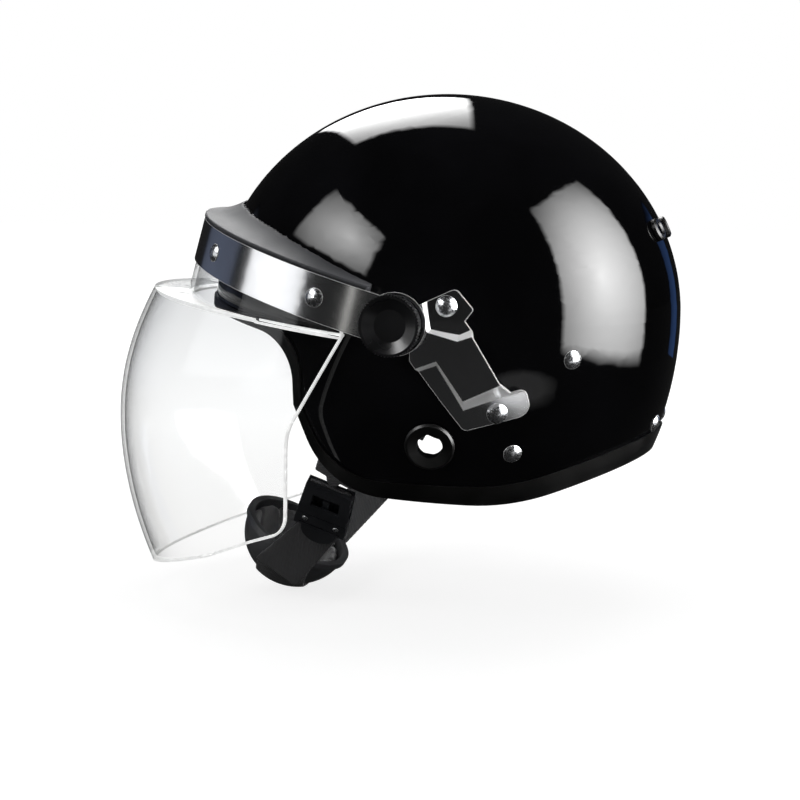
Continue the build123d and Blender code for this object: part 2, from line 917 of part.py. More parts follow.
def brow_seal():
    """Rubber wedge that closes the gap between band and shell."""
    under_band = -band_thick / 2 - flange_gap
    under_visor = under_band - visor_thick - flange_gap * 2 - band_rivet_tail
    flange_top = seal_skirt_low + flange_height / 3
    body = band_prism(horseshoe(under_visor), seal_skirt_low, seal_step)
    body += band_prism(horseshoe(under_band), flange_top + flange_gap, seal_lip_high)
    body += band_prism(horseshoe(seal_lip), seal_lip_low, seal_lip_high)
    top = band_frame().offset(seal_lip_high) * horseshoe(seal_lip)
    body += extrude(top, seal_rise, taper=seal_taper)
    body -= egg(seal_gap)
    ahead = Pos(seal_end_reach + band_reach, 0, 0) * Box(band_reach * 2, shell_width * 2, shell_width)
    return body & (band_frame().location * ahead)


def knob(side):
    """Knurled clamping knob with a dished face, blind bored for the stud."""
    teeth = Circle(knob_radius)
    for spot in PolarLocations(knob_radius, knob_teeth):
        teeth -= spot * Circle(knob_tooth_radius)
    body = Pos(0, 0, knob_thick - knob_flange) * extrude(teeth, knob_flange)
    neck = Cylinder(knob_body_radius, knob_thick - knob_flange, align=(Align.CENTER, Align.CENTER, Align.MIN))
    body += neck
    dish = [
        (0, knob_thick - knob_dish_depth),
        (knob_hub_radius, knob_thick - knob_dish_depth),
        (knob_dish_radius, knob_thick),
        (knob_dish_radius, knob_thick + knob_dish_depth),
        (0, knob_thick + knob_dish_depth),
    ]
    body -= ring(dish)
    bore = Cylinder(
        stud_radius + running_clearance, knob_bore_depth, align=(Align.CENTER, Align.CENTER, Align.MIN)
    )
    body -= bore
    start = band_inner_face() + band_thick + stack_gap + spring_rise + spring_thick
    return on_pivot(body, side, start)


def strap_frame():
    """Plane of the left strap's free run. Its Y axis runs up the strap."""
    outer = -shell_wall - trim_wrap - foam_gap - web_thick / 2
    y = -half_width_at(strap_exit_x, strap_exit_z, outer)
    down = Vector(*strap_down_share).normalized()
    across = Vector(*strap_across_share).normalized()
    return Plane(origin=(strap_exit_x, y, strap_exit_z), x_dir=across, z_dir=down.cross(across))


def strap_box(start, end, width, thick, lift=0):
    """Flat block on the strap, between two distances down from the rim."""
    block = Pos(0, -(start + end) / 2, lift) * Box(width, end - start, thick)
    return strap_frame().location * block


def strap_point(distance):
    """Middle of the left strap at a distance down from the rim."""
    return strap_frame().from_local_coords(Vector(0, -distance, 0))


def lower_strap(side):
    """Free webbing from the rim down into the buckle, or on the far side into the slide."""
    start = swing_drop + strap_lead
    if side == left:
        return strap_box(start, socket_top + socket_head - foam_gap, web_width, web_thick)
    body = strap_box(start, slider_start + slider_length / 2 - foam_gap, web_width, web_thick)
    return mirror(body, about=Plane.XZ)


def ribbon(stations):
    """Webbing that runs flat through a row of stations: middle, across and half width."""
    sections = []
    for index, (middle, across, half) in enumerate(stations):
        before = stations[max(index - 1, 0)][0]
        after = stations[min(index + 1, len(stations) - 1)][0]
        plane = Plane(origin=middle, x_dir=across, z_dir=after - before)
        sections.append(plane * Rectangle(half * 2, web_thick))
    return loft(sections, ruled=True)


def socket_end():
    """Distance down the strap where the socket's mouth opens."""
    return socket_top + socket_head + socket_window + socket_throat


def half_socket_at(distance):
    """Half width of the tapered socket at a distance down the strap."""
    share = (distance - socket_top) / (socket_end() - socket_top)
    return (socket_top_width + (buckle_width - socket_top_width) * share) / 2


def socket_taper(start, end, shrink, thick):
    """Tapered block between two distances, drawn in from the socket's sides."""
    top = half_socket_at(start) - shrink
    low = half_socket_at(end) - shrink
    face = outline([(-top, -start), (-low, -end), (low, -end), (top, -start)])
    return strap_frame().offset(-thick / 2).location * extrude(face, thick)


def tooth_notches(start, end, count):
    """Saw-tooth cuts down both long edges of the buckle between two distances."""
    pitch = (end - start) / count
    quarter_turn = 90
    notches = []
    for tooth in range(count):
        middle = start + pitch * (tooth + 1 / 2)
        for edge in (-1, 1):
            place = Pos(edge * half_socket_at(middle), -middle, 0) * Rot(0, 0, quarter_turn / 2)
            notches.append(strap_frame().location * (place * Box(grip_tooth, grip_tooth, socket_thick * 2)))
    return notches


def buckle_socket():
    """Female half: a flat sleeve open at its sides, where the arms are pressed."""
    end = socket_end()
    body = socket_taper(socket_top, end, 0, socket_thick)
    hollow_thick = socket_thick - socket_wall * 2
    window_start = socket_top + socket_head
    body -= socket_taper(window_start, end + socket_head, socket_wall, hollow_thick)
    body -= strap_box(window_start, window_start + socket_window, buckle_width * 2, hollow_thick)
    panel_start = window_start + socket_wall
    body -= strap_box(panel_start, panel_start + panel_length, panel_width, socket_thick, socket_thick / 2)
    # pocket that the webbing is sewn into
    pocket = web_thick + foam_gap * 2
    body -= strap_box(socket_top - overrun, socket_top + socket_head, web_width + foam_gap * 2, pocket)
    for notch in tooth_notches(socket_top, window_start, grip_teeth // 2):
        body -= notch
    for notch in tooth_notches(window_start + socket_window, end, grip_teeth // 2):
        body -= notch
    return body


def clip_start():
    """Distance down the strap where the male half's shoulder begins."""
    return socket_end() + clip_gap


def arm_block(edge, inner, outer, start, end, thick):
    """Block of one arm between two places across and two distances down."""
    middle = edge * (inner + outer) / 2
    block = Pos(middle, -(start + end) / 2, 0) * Box(outer - inner, end - start, thick)
    return strap_frame().location * block


def arm_pin_place(edge):
    """Where the pin of one arm stands in the male half."""
    return strap_frame().location * Pos(edge * arm_middle, -(clip_start() + clip_root), 0)


def buckle_clip():
    """Male half: shoulder, web pocket, arm pockets and the middle guide."""
    start = clip_start()
    end = start + clip_length
    body = strap_box(start, end, buckle_width, socket_thick)
    slot_start = start + clip_root + arm_width
    body -= strap_box(slot_start, slot_start + bar_slot / 2, web_width + foam_gap, socket_thick * 2)
    body -= strap_box(slot_start, end + overrun, web_width + foam_gap * 2, web_thick + foam_gap * 2)
    half = arm_width / 2 + arm_play
    root = start + clip_root + half
    for edge in (-1, 1):
        pocket = arm_block(
            edge, arm_middle - half, arm_middle + half, start - overrun, root, arm_thick + foam_gap * 2
        )
        body -= pocket
        body -= arm_pin_place(edge) * Cylinder(arm_pin_radius, overrun)
    return body + strap_box(start - guide_length, start + clip_root / 2, guide_width, arm_thick)


def release_tab():
    """Half-round tab that hangs from the male half's outer face, over the webbing."""
    end = clip_start() + clip_length
    half = Circle(tab_radius) & Pos(0, -tab_radius) * Rectangle(tab_radius * 2, tab_radius * 2)
    return strap_frame().offset(tab_lift).location * (Pos(0, -end, 0) * extrude(half, tab_thick))


def buckle_arms():
    """Two arms, one each side of the guide, with a toothed grip in each window."""
    start = clip_start()
    tip = start - arm_reach
    catch_start = socket_end() - socket_throat - clip_gap
    low = half_socket_at(catch_start) - socket_wall - running_clearance
    catch = low + arm_catch
    inner = arm_middle - arm_width / 2
    notches = tooth_notches(tip, catch_start, grip_teeth)
    arms = {}
    for name, edge in (("front", -1), ("rear", 1)):
        bar = arm_block(edge, inner, arm_middle + arm_width / 2, tip, start + clip_root, arm_thick)
        face = outline(
            [
                (edge * arm_middle, -tip),
                (edge * catch, -tip),
                (edge * catch, -(catch_start - arm_ramp)),
                (edge * low, -catch_start),
                (edge * arm_middle, -catch_start),
            ]
        )
        grip = strap_frame().offset(-arm_thick / 2).location * extrude(face, arm_thick)
        root = arm_pin_place(edge) * Cylinder(arm_width / 2, arm_thick)
        arm = bar + grip + root
        for notch in notches:
            arm -= notch
        bore = Cylinder(arm_pin_radius + running_clearance, overrun)
        arms[name] = arm - arm_pin_place(edge) * bore
    return arms


def arm_pins():
    """Pins that the two arms turn on."""
    pin = Cylinder(arm_pin_radius, socket_thick)
    head = Pos(0, 0, socket_thick / 2) * dome(pin_head_radius, pin_head_rise)
    return Compound([arm_pin_place(edge) * (pin + head) for edge in (-1, 1)])


def cup_frame():
    """Rim plane of the chin cup. Its Z axis points up and back into the cup."""
    lean = radians(cup_lean)
    return Plane(
        origin=(cup_x, 0, cup_z),
        x_dir=(cos(lean), 0, -sin(lean)),
        z_dir=(sin(lean), 0, cos(lean)),
    )


def cup_form(grow):
    """Closed half-oval form of the chin cup, open side on its rim plane."""
    half = scale(
        Sphere(1, arc_size2=0, align=None),
        by=(cup_half_length + grow, cup_half_width + grow, cup_depth + grow),
    )
    return cup_frame().location * half


def chin_cup():
    """Moulded cup with a beaded rim."""
    body = cup_form(0) - cup_form(-cup_wall)
    bead = Ellipse(cup_half_length + cup_bead, cup_half_width + cup_bead)
    bead -= Ellipse(cup_half_length - cup_wall, cup_half_width - cup_wall)
    return body + cup_frame().offset(-cup_bead).location * extrude(bead, cup_bead * 2)


def chin_pad():
    """Soft pad that lines the cup."""
    outer = -cup_wall - cup_web_gap
    return cup_form(outer) - cup_form(outer - cup_pad)


def cup_touch(start):
    """Where a flat run from a starting place touches the webbing under the cup, and its
    place across, both in the row of the cup's own plane."""
    grow = cup_web_gap * 2 + web_thick * 3 / 2
    wide = cup_half_width + grow
    deep = cup_depth + grow
    local = cup_frame().to_local_coords(start)
    ratio_y = -local.Y / wide
    ratio_z = local.Z / deep
    turn = acos(1 / hypot(ratio_y, ratio_z)) - atan2(ratio_z, ratio_y)
    return Vector(cup_web_offset, -wide * cos(turn), -deep * sin(turn))


def cup_run(start, lead):
    """Flat run of webbing from inside a fitting to the side of the cup."""
    strap_across = strap_frame().x_dir
    cup_across = cup_frame().x_dir
    first = strap_point(start)
    second = strap_point(lead)
    touch = cup_touch(second)
    third = cup_frame().from_local_coords(touch)
    lap = (third - second).normalized() * run_lap
    return ribbon(
        [
            (first, strap_across, web_width / 2),
            (second, strap_across, web_width / 2),
            (third, cup_across, cup_web_width / 2),
            (third + lap, cup_across, cup_web_width / 2),
        ]
    )


def clip_web():
    """Webbing from the male half down to the side of the cup."""
    start = clip_start() + clip_root + arm_width + foam_gap
    return cup_run(start, clip_start() + clip_length + run_lead)


def slider_web():
    """The same run on the far side, from the ladder slide."""
    start = slider_start + slider_length / 2 + foam_gap
    return mirror(cup_run(start, slider_start + slider_length + run_lead), about=Plane.XZ)


def chin_web():
    """Webbing that passes under the cup from side to side."""
    layer = cup_form(cup_web_gap + web_thick) - cup_form(cup_web_gap)
    top = cup_touch(strap_point(clip_start() + clip_length + run_lead)).Z + run_lap
    strip_block = Box(cup_web_width, shell_width, cup_depth * 2, align=(Align.CENTER, Align.CENTER, Align.MAX))
    return layer & (cup_frame().location * (Pos(cup_web_offset, 0, top) * strip_block))


def strap_slider():
    """Ladder slide on the far-side webbing."""
    end = slider_start + slider_length
    body = strap_box(slider_start, end, buckle_width, slider_thick + web_thick)
    body -= strap_box(
        slider_start - overrun / 4,
        end + overrun / 4,
        web_width + foam_gap * 2,
        web_thick + foam_gap * 2,
    )
    body -= strap_box(slider_start + bar_width, end - bar_width, web_width, overrun / 4, overrun / 8)
    return mirror(body, about=Plane.XZ)


os.makedirs("parts", exist_ok=True)

shell = outer_shell()
save(shell, "outer_shell")
save(edge_trim(shell), "edge_trim")
for name, half in foam_liners().items():
    save(half, "foam_liner_" + name)
save(crown_pad(), "crown_pad")
save(brow_pad(), "brow_pad")
save(neck_pad(), "neck_pad")
save(ear_grommets(), "ear_grommets")
save(vent_grommets(), "vent_grommets")
save(shell_rivets(), "shell_rivets")
save(rivet_washers(), "rivet_washers")
save(bracket_bolts(), "bracket_bolts")
save(pivot_washers(), "pivot_washers")
save(friction_springs(), "friction_springs")
for name, side in sides.items():
    save(cheek_pad(side), "cheek_pad_" + name)
    save(upper_strap(side), "upper_strap_" + name)
    save(bracket(side), "bracket_" + name)
    save(pivot_stud(side), "pivot_stud_" + name)
    save(knob(side), "knob_" + name)
    save(lower_strap(side), "lower_strap_" + name)
save(shield_band(), "shield_band")
save(band_rivets(), "band_rivets")
save(visor(), "visor")
save(brow_seal(), "brow_seal")
save(buckle_socket(), "buckle_socket")
save(buckle_clip(), "buckle_clip")
for name, arm in buckle_arms().items():
    save(arm, "buckle_arm_" + name)
save(arm_pins(), "arm_pins")
save(release_tab(), "release_tab")
save(clip_web(), "clip_web")
save(slider_web(), "slider_web")
save(chin_cup(), "chin_cup")
save(chin_pad(), "chin_pad")
save(chin_web(), "chin_web")
save(strap_slider(), "strap_slider")
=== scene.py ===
import json
from math import acos, atan2, cos, exp, hypot, pi, radians, sin, sqrt

import bmesh
import bpy
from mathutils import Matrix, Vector, kdtree
from mathutils.bvhtree import BVHTree


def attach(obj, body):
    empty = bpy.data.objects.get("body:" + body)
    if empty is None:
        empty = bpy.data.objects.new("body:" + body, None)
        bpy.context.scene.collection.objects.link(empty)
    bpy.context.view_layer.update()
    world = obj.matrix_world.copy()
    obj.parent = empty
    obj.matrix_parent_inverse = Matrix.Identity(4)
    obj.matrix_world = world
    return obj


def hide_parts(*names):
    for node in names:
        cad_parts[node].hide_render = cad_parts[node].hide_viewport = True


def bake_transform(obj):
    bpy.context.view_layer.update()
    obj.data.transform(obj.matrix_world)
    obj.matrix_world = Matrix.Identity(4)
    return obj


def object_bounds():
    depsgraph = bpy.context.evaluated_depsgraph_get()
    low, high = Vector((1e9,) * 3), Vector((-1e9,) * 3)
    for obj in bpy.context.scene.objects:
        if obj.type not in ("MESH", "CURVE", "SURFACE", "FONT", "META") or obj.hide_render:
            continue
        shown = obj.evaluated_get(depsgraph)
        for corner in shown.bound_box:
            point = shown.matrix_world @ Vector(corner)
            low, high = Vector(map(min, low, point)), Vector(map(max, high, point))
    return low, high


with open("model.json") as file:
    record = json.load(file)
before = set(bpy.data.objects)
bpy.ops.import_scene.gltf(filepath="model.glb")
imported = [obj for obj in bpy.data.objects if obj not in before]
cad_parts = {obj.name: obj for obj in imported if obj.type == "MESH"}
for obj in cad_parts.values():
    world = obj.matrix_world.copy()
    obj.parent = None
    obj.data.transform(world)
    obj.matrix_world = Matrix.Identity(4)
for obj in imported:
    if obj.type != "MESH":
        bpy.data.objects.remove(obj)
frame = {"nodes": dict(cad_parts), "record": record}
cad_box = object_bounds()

# Looks of a face-shield helmet. Metres and degrees, front towards -X, wearer's left
# towards -Y, up towards +Z.

# Shell: half its length and width, its reach below its widest line, and its walls
pivot_drop = 0.0849
shell_drop = 0.003
shell_half_length = 0.139
shell_half_width = 0.120
skirt_reach = 0.169
shell_wall = 0.004
trim_wrap = 0.0015
layer_gap = 0.0003
shell_middle = Vector((0.0, 0.0, -pivot_drop - shell_drop))

# Camera, in front of the wearer's left
camera_place = Vector((0.2146, -0.9748, -0.0022))
camera_azimuth = 14.0
camera_height = 8.0
camera_lens = 75.0

# Shield: underside of its shelf, the heights that the painted shade of its tint fades between, and its edge
visor_shelf_height = -0.075
visor_painted_shade_low = -0.24
visor_painted_shade_high = -0.08
visor_edge_depth = 0.0012
visor_edge_proud = 0.0001
visor_edge_slant = 0.02
visor_front_half = 0.03
visor_front_slant = -0.6

# Band's own frame on the pivots, and the seal's heights and run along it
band_tilt = radians(16.3)
band_middle = Vector((0.0, 0.0, -pivot_drop))
band_ahead = Vector((-cos(band_tilt), 0.0, sin(band_tilt)))
band_up = Vector((sin(band_tilt), 0.0, cos(band_tilt)))
seal_lip_top = 0.0150
seal_top_rise = 0.0126
seal_rear = 0.019
seal_run = 0.075
seal_flat_share = 0.45
seal_dish_power = 2.4
seal_end_share = 0.12
seal_shell_gap = 0.0005
seal_voxel = 0.0009

# Soft linings: skins, the swelling of the cloth, and the sewn channels
pad_voxel = 0.004
chin_pad_voxel = 0.003
pad_rounds = 3
smooth_factor = 0.5
cloth_pressure = 4.0
cloth_quality = 5
cloth_steps = 20
cloth_cap = 0.0012
channel_width = 0.0018
channel_depth = 0.0016
crown_ring_x = -0.01
crown_ring_radius = 0.045
crown_seams = 6
crown_channel_width = 0.0022
crown_channel_depth = 0.0018
brow_channel_pitch = 0.028
cheek_channel_pitch = 0.03
nape_channel_pitch = 0.03
chin_channel_pitch = 0.022

# Webbing: its section, with rolled selvedges, and the waves of its weave
web_width = 0.025
web_thick = 0.0016
web_skin_voxel = 0.0007
web_skin_rounds = 2
web_section_points = 28
web_row_pitch = 0.0008
web_square_across = 0.35
web_square_up = 0.45
web_selvedge_start = 0.86
web_selvedge_thin = 0.1
web_thick_share = 0.96
web_ripple = 0.012
web_ripple_pitch = 0.0032
warp_pitch = 0.0011
weft_pitch = 0.0016

# Left strap: where it leaves the rim, below the shell's widest line, and how it runs
strap_exit_x = -0.046
strap_exit_drop = 0.090
strap_down_share = (-0.35, 0.55, -0.76)
strap_across_share = (0.93, 0.10, -0.35)

# Distances down the strap from the rim
free_top = 0.006
socket_pocket_end = 0.0127
slide_pocket_end = 0.0352
clip_bar = 0.0401
clip_lead = 0.0444
slide_bar = 0.0358
slide_lead = 0.043
run_lap = 0.003

# Chin cup and the webbing under it
cup_x = -0.094
cup_z = -0.144
cup_half_width = 0.041
cup_depth = 0.031
cup_lean = radians(32.7)
cup_web_offset = 0.008
cup_web_width = 0.030
cup_web_gap = 0.0003
cup_middle = Vector((cup_x, 0.0, cup_z - pivot_drop))
cup_across = Vector((cos(cup_lean), 0.0, -sin(cup_lean)))
cup_up = Vector((sin(cup_lean), 0.0, cos(cup_lean)))

# Webbing inside the shell, whose weave follows these two ways
upper_across = Vector((0.5, 0.0, 0.87))
upper_along = Vector((0.97, 0.0, 0.25))

# Light levels
backdrop_level = 1.0
mirrored_backdrop = 0.012
mirrored_floor = 0.02
fill_level = 0.25

# Floor: its place, its glow round the object, and the one bright spot that gloss shows
floor_drop = 0.002
floor_half = 6.0
floor_albedo = 0.35
floor_glow_near = 0.80
floor_glow_start = 0.2
floor_glow_end = 0.75
floor_glint = 0.9
floor_glint_place = (0.30, -0.375, 0.0)
floor_glint_core = 0.08
floor_glint_reach = 0.14

# Colours, as linear shares of red, green and blue
white = (1.0, 1.0, 1.0)
steel = (0.78, 0.79, 0.81)
steel_dark_share = 0.86
# Pale steel painted on edges and bends as a highlight
steel_painted_highlight = (0.93, 0.93, 0.92)
shell_dark = (0.0022, 0.0022, 0.0026)
shell_light = (0.0042, 0.0042, 0.005)
# Shield tint from bottom to top; the darker top is painted shade standing in for reflections
visor_clear_tint = (0.993, 0.993, 0.991)
visor_top_painted_shade = (0.944, 0.947, 0.949)
visor_gloss = (0.9, 0.91, 0.92)
# Shield's cut edge: its pale sawn colour, and the colour of its painted glow
edge_dark = (0.74, 0.75, 0.75)
edge_light = (0.88, 0.89, 0.88)
edge_painted_glow = (1.0, 1.0, 0.99)
foam_light = (0.036, 0.036, 0.039)
foam_dark = (0.018, 0.018, 0.02)
lining_dark = (0.018, 0.018, 0.020)
lining_light = (0.030, 0.030, 0.033)
# Webbing: painted shade in the weave's hollows and painted sheen on its crests
web_hollow_painted_shade = (0.004, 0.004, 0.005)
web_crest_painted_sheen = (0.032, 0.032, 0.035)


# Node helpers

def new_material(name):
    """Node material with its nodes, its links and its main shader."""
    material = bpy.data.materials.new(name)
    material.use_nodes = True
    tree = material.node_tree
    return material, tree.nodes, tree.links, tree.nodes["Principled BSDF"]


def opaque(colour):
    """A colour with its fourth value."""
    return (*colour, 1.0)


def coordinates(nodes, kind):
    """Places on the surface: Object, Normal or UV."""
    return nodes.new("ShaderNodeTexCoord").outputs[kind]


def axis_of(nodes, links, vector, axis):
    """One axis of a vector."""
    node = nodes.new("ShaderNodeSeparateXYZ")
    links.new(vector, node.inputs["Vector"])
    return node.outputs[axis]


def distance_from(nodes, links, vector, place):
    """How far a vector lies from a fixed place."""
    node = nodes.new("ShaderNodeVectorMath")
    node.operation = "DISTANCE"
    node.inputs[1].default_value = place
    links.new(vector, node.inputs[0])
    return node.outputs["Value"]


def maths(nodes, links, operation, *values, clamp=False):
    """Result of one operation on fixed numbers and on other nodes' outputs."""
    node = nodes.new("ShaderNodeMath")
    node.operation = operation
    node.use_clamp = clamp
    for socket, value in zip(node.inputs, values):
        if isinstance(value, float):
            socket.default_value = value
        else:
            links.new(value, socket)
    return node.outputs["Value"]


def surface_noise(nodes, links, scale, detail=3.0, stretch=(1.0, 1.0, 1.0)):
    """Noise over the object's own space, in features a metre."""
    mapping = nodes.new("ShaderNodeMapping")
    mapping.inputs["Scale"].default_value = stretch
    texture = nodes.new("ShaderNodeTexNoise")
    texture.inputs["Scale"].default_value = scale
    texture.inputs["Detail"].default_value = detail
    links.new(coordinates(nodes, "Object"), mapping.inputs["Vector"])
    links.new(mapping.outputs["Vector"], texture.inputs["Vector"])
    return texture.outputs["Fac"]


def cells(nodes, links, scale, randomness=1.0):
    """Distance to the middle of the nearest cell, in cells a metre."""
    texture = nodes.new("ShaderNodeTexVoronoi")
    texture.inputs["Scale"].default_value = scale
    texture.inputs["Randomness"].default_value = randomness
    links.new(coordinates(nodes, "Object"), texture.inputs["Vector"])
    return texture.outputs["Distance"]


def ramp(nodes, links, factor, low_colour, high_colour, low_at=0.35, high_at=0.65):
    """Colour that goes from one value to another with a factor."""
    node = nodes.new("ShaderNodeValToRGB")
    low, high = node.color_ramp.elements
    low.position = low_at
    low.color = opaque(low_colour)
    high.position = high_at
    high.color = opaque(high_colour)
    links.new(factor, node.inputs["Fac"])
    return node.outputs["Color"]


def spread(nodes, links, factor, low, high, low_at=0.3, high_at=0.7):
    """Number that goes from one value to another with a factor."""
    node = nodes.new("ShaderNodeMapRange")
    node.inputs["From Min"].default_value = low_at
    node.inputs["From Max"].default_value = high_at
    node.inputs["To Min"].default_value = low
    node.inputs["To Max"].default_value = high
    links.new(factor, node.inputs["Value"])
    return node.outputs["Result"]


def bump(nodes, links, height, shader, strength, depth):
    """Fine relief on a shader's normal."""
    node = nodes.new("ShaderNodeBump")
    node.inputs["Strength"].default_value = strength
    node.inputs["Distance"].default_value = depth
    links.new(height, node.inputs["Height"])
    links.new(node.outputs["Normal"], shader.inputs["Normal"])


def show_both(nodes, links, factor, first, second):
    """Surface that goes over from one shader to another with a factor."""
    mix = nodes.new("ShaderNodeMixShader")
    links.new(factor, mix.inputs["Fac"])
    links.new(first, mix.inputs[1])
    links.new(second, mix.inputs[2])
    links.new(mix.outputs["Shader"], nodes["Material Output"].inputs["Surface"])


# Finishes

def moulded(name, dark, light, rough, grain, relief, specular):
    """Moulded plastic or rubber, with a fine grain and slow drift of colour and gloss."""
    material, nodes, links, shader = new_material(name)
    slow = surface_noise(nodes, links, scale=45.0)
    fine = surface_noise(nodes, links, scale=grain, detail=2.0)
    links.new(ramp(nodes, links, slow, dark, light), shader.inputs["Base Color"])
    links.new(spread(nodes, links, slow, *rough), shader.inputs["Roughness"])
    shader.inputs["Specular IOR Level"].default_value = specular
    bump(nodes, links, fine, shader, strength=relief, depth=0.0002)
    return material


def gloss_shell():
    """High-gloss black shell with a faint orange peel and the odd fine scuff."""
    material, nodes, links, shader = new_material("shell_gloss")
    slow = surface_noise(nodes, links, scale=14.0)
    peel = surface_noise(nodes, links, scale=160.0, detail=1.0)
    scuff = surface_noise(nodes, links, scale=700.0, detail=6.0, stretch=(1.0, 1.0, 0.12))
    rough = spread(nodes, links, scuff, low=0.035, high=0.07, low_at=0.62, high_at=0.85)
    links.new(ramp(nodes, links, slow, shell_dark, shell_light), shader.inputs["Base Color"])
    links.new(rough, shader.inputs["Roughness"])
    shader.inputs["Specular IOR Level"].default_value = 0.25
    bump(nodes, links, peel, shader, strength=0.012, depth=0.0001)
    return material


def edge_mask(nodes, links, width):
    """One on the edges of a solid and zero on its faces."""
    rounded = nodes.new("ShaderNodeBevel")
    rounded.samples = 6
    rounded.inputs["Radius"].default_value = width
    flat = nodes.new("ShaderNodeNewGeometry")
    same = nodes.new("ShaderNodeVectorMath")
    same.operation = "DOT_PRODUCT"
    links.new(rounded.outputs["Normal"], same.inputs[0])
    links.new(flat.outputs["Normal"], same.inputs[1])
    return spread(nodes, links, same.outputs["Value"], low=0.0, high=1.0, low_at=0.99, high_at=0.86)


def bend_highlight_mask(nodes, links):
    """High on the bends and rims of a plate that lies against the helmet's side, the places of its painted
    highlight.
    """
    sideways = axis_of(nodes, links, coordinates(nodes, "Normal"), "Y")
    flat = maths(nodes, links, "ABSOLUTE", sideways)
    return spread(nodes, links, flat, low=0.0, high=0.85, low_at=0.93, high_at=0.80)


def polished_steel(name, colour, rough, brush, stretch=(1.0, 1.0, 1.0), edge=0.0002, bend_highlights=False):
    """Polished stainless steel with fine drawn lines, a painted highlight on its edges as a pale, matt, less
    metallic strip, and on a bent plate a painted highlight on its bends."""
    material, nodes, links, shader = new_material(name)
    lines = surface_noise(nodes, links, scale=brush, detail=4.0, stretch=stretch)
    slow = surface_noise(nodes, links, scale=30.0)
    darker = tuple(steel_dark_share * value for value in colour)
    # Painted highlight: edges, and on a bent plate its bends, turn pale, less metallic and rougher
    highlight_share = edge_mask(nodes, links, edge)
    if bend_highlights:
        highlight_share = maths(nodes, links, "MAXIMUM", highlight_share, bend_highlight_mask(nodes, links), clamp=True)
    tone = nodes.new("ShaderNodeMix")
    tone.data_type = "RGBA"
    links.new(highlight_share, tone.inputs["Factor"])
    links.new(ramp(nodes, links, slow, darker, colour), tone.inputs[6])
    tone.inputs[7].default_value = opaque(steel_painted_highlight)
    links.new(tone.outputs[2], shader.inputs["Base Color"])
    metal = spread(nodes, links, highlight_share, low=1.0, high=0.15, low_at=0.0, high_at=1.0)
    links.new(metal, shader.inputs["Metallic"])
    highlight_extra_rough = 0.3
    plain = spread(nodes, links, lines, *rough)
    rough_with_highlights = maths(nodes, links, "MULTIPLY_ADD", highlight_share, highlight_extra_rough, plain)
    links.new(rough_with_highlights, shader.inputs["Roughness"])
    bump(nodes, links, lines, shader, strength=0.04, depth=0.00005)
    return material


def clear_visor():
    """Clear polycarbonate: a light tint with painted shade that makes it darker towards the top, and a thin
    gloss that grows where the wall is seen along its face."""
    material, nodes, links, shader = new_material("visor_clear")
    # Painted shade: the tint darkens towards the top
    height = axis_of(nodes, links, coordinates(nodes, "Object"), "Z")
    high = spread(nodes, links, height, 0.0, 1.0, low_at=visor_painted_shade_low, high_at=visor_painted_shade_high)
    tint = ramp(nodes, links, high, visor_clear_tint, visor_top_painted_shade, low_at=0.0, high_at=1.0)
    clear = nodes.new("ShaderNodeBsdfTransparent")
    links.new(tint, clear.inputs["Color"])
    haze = surface_noise(nodes, links, scale=9.0, detail=2.0, stretch=(0.2, 1.0, 0.35))
    shader.inputs["Metallic"].default_value = 1.0
    shader.inputs["Base Color"].default_value = opaque(visor_gloss)
    links.new(spread(nodes, links, haze, low=0.015, high=0.05), shader.inputs["Roughness"])
    side_on = nodes.new("ShaderNodeLayerWeight")
    side_on.inputs["Blend"].default_value = 0.5
    gloss_power = 4.5
    steep = maths(nodes, links, "POWER", side_on.outputs["Facing"], gloss_power)
    gloss = spread(nodes, links, steep, low=0.022, high=0.7, low_at=0.0, high_at=1.0)
    show_both(nodes, links, gloss, clear.outputs["BSDF"], shader.outputs["BSDF"])
    return material


def painted_glow_edge():
    """Cut edge of the clear shield, a pale sawn colour with a painted glow that makes it a bright line."""
    material, nodes, links, shader = new_material("visor_cut_edge_painted_glow")
    sawn = surface_noise(nodes, links, scale=300.0, detail=2.0)
    links.new(ramp(nodes, links, sawn, edge_dark, edge_light), shader.inputs["Base Color"])
    links.new(spread(nodes, links, sawn, low=0.25, high=0.4), shader.inputs["Roughness"])
    shader.inputs["Emission Color"].default_value = opaque(edge_painted_glow)
    # Painted glow that makes the edge a bright line
    links.new(spread(nodes, links, sawn, low=0.38, high=0.5), shader.inputs["Emission Strength"])
    return material


def bead_foam():
    """Moulded impact foam, with the faces of its beads showing."""
    material, nodes, links, shader = new_material("bead_foam")
    beads = cells(nodes, links, scale=420.0)
    colour = ramp(nodes, links, beads, foam_light, foam_dark, low_at=0.1, high_at=0.7)
    links.new(colour, shader.inputs["Base Color"])
    shader.inputs["Roughness"].default_value = 0.75
    bump(nodes, links, beads, shader, strength=0.35, depth=0.0004)
    return material


def knit_lining():
    """Soft knitted lining with a fine loop pattern and a little sheen."""
    material, nodes, links, shader = new_material("lining_knit")
    loops = cells(nodes, links, scale=1500.0, randomness=0.35)
    slow = surface_noise(nodes, links, scale=70.0)
    links.new(ramp(nodes, links, slow, lining_dark, lining_light), shader.inputs["Base Color"])
    shader.inputs["Roughness"].default_value = 0.92
    shader.inputs["Sheen Weight"].default_value = 0.35
    shader.inputs["Sheen Roughness"].default_value = 0.5
    bump(nodes, links, loops, shader, strength=0.5, depth=0.0003)
    return material


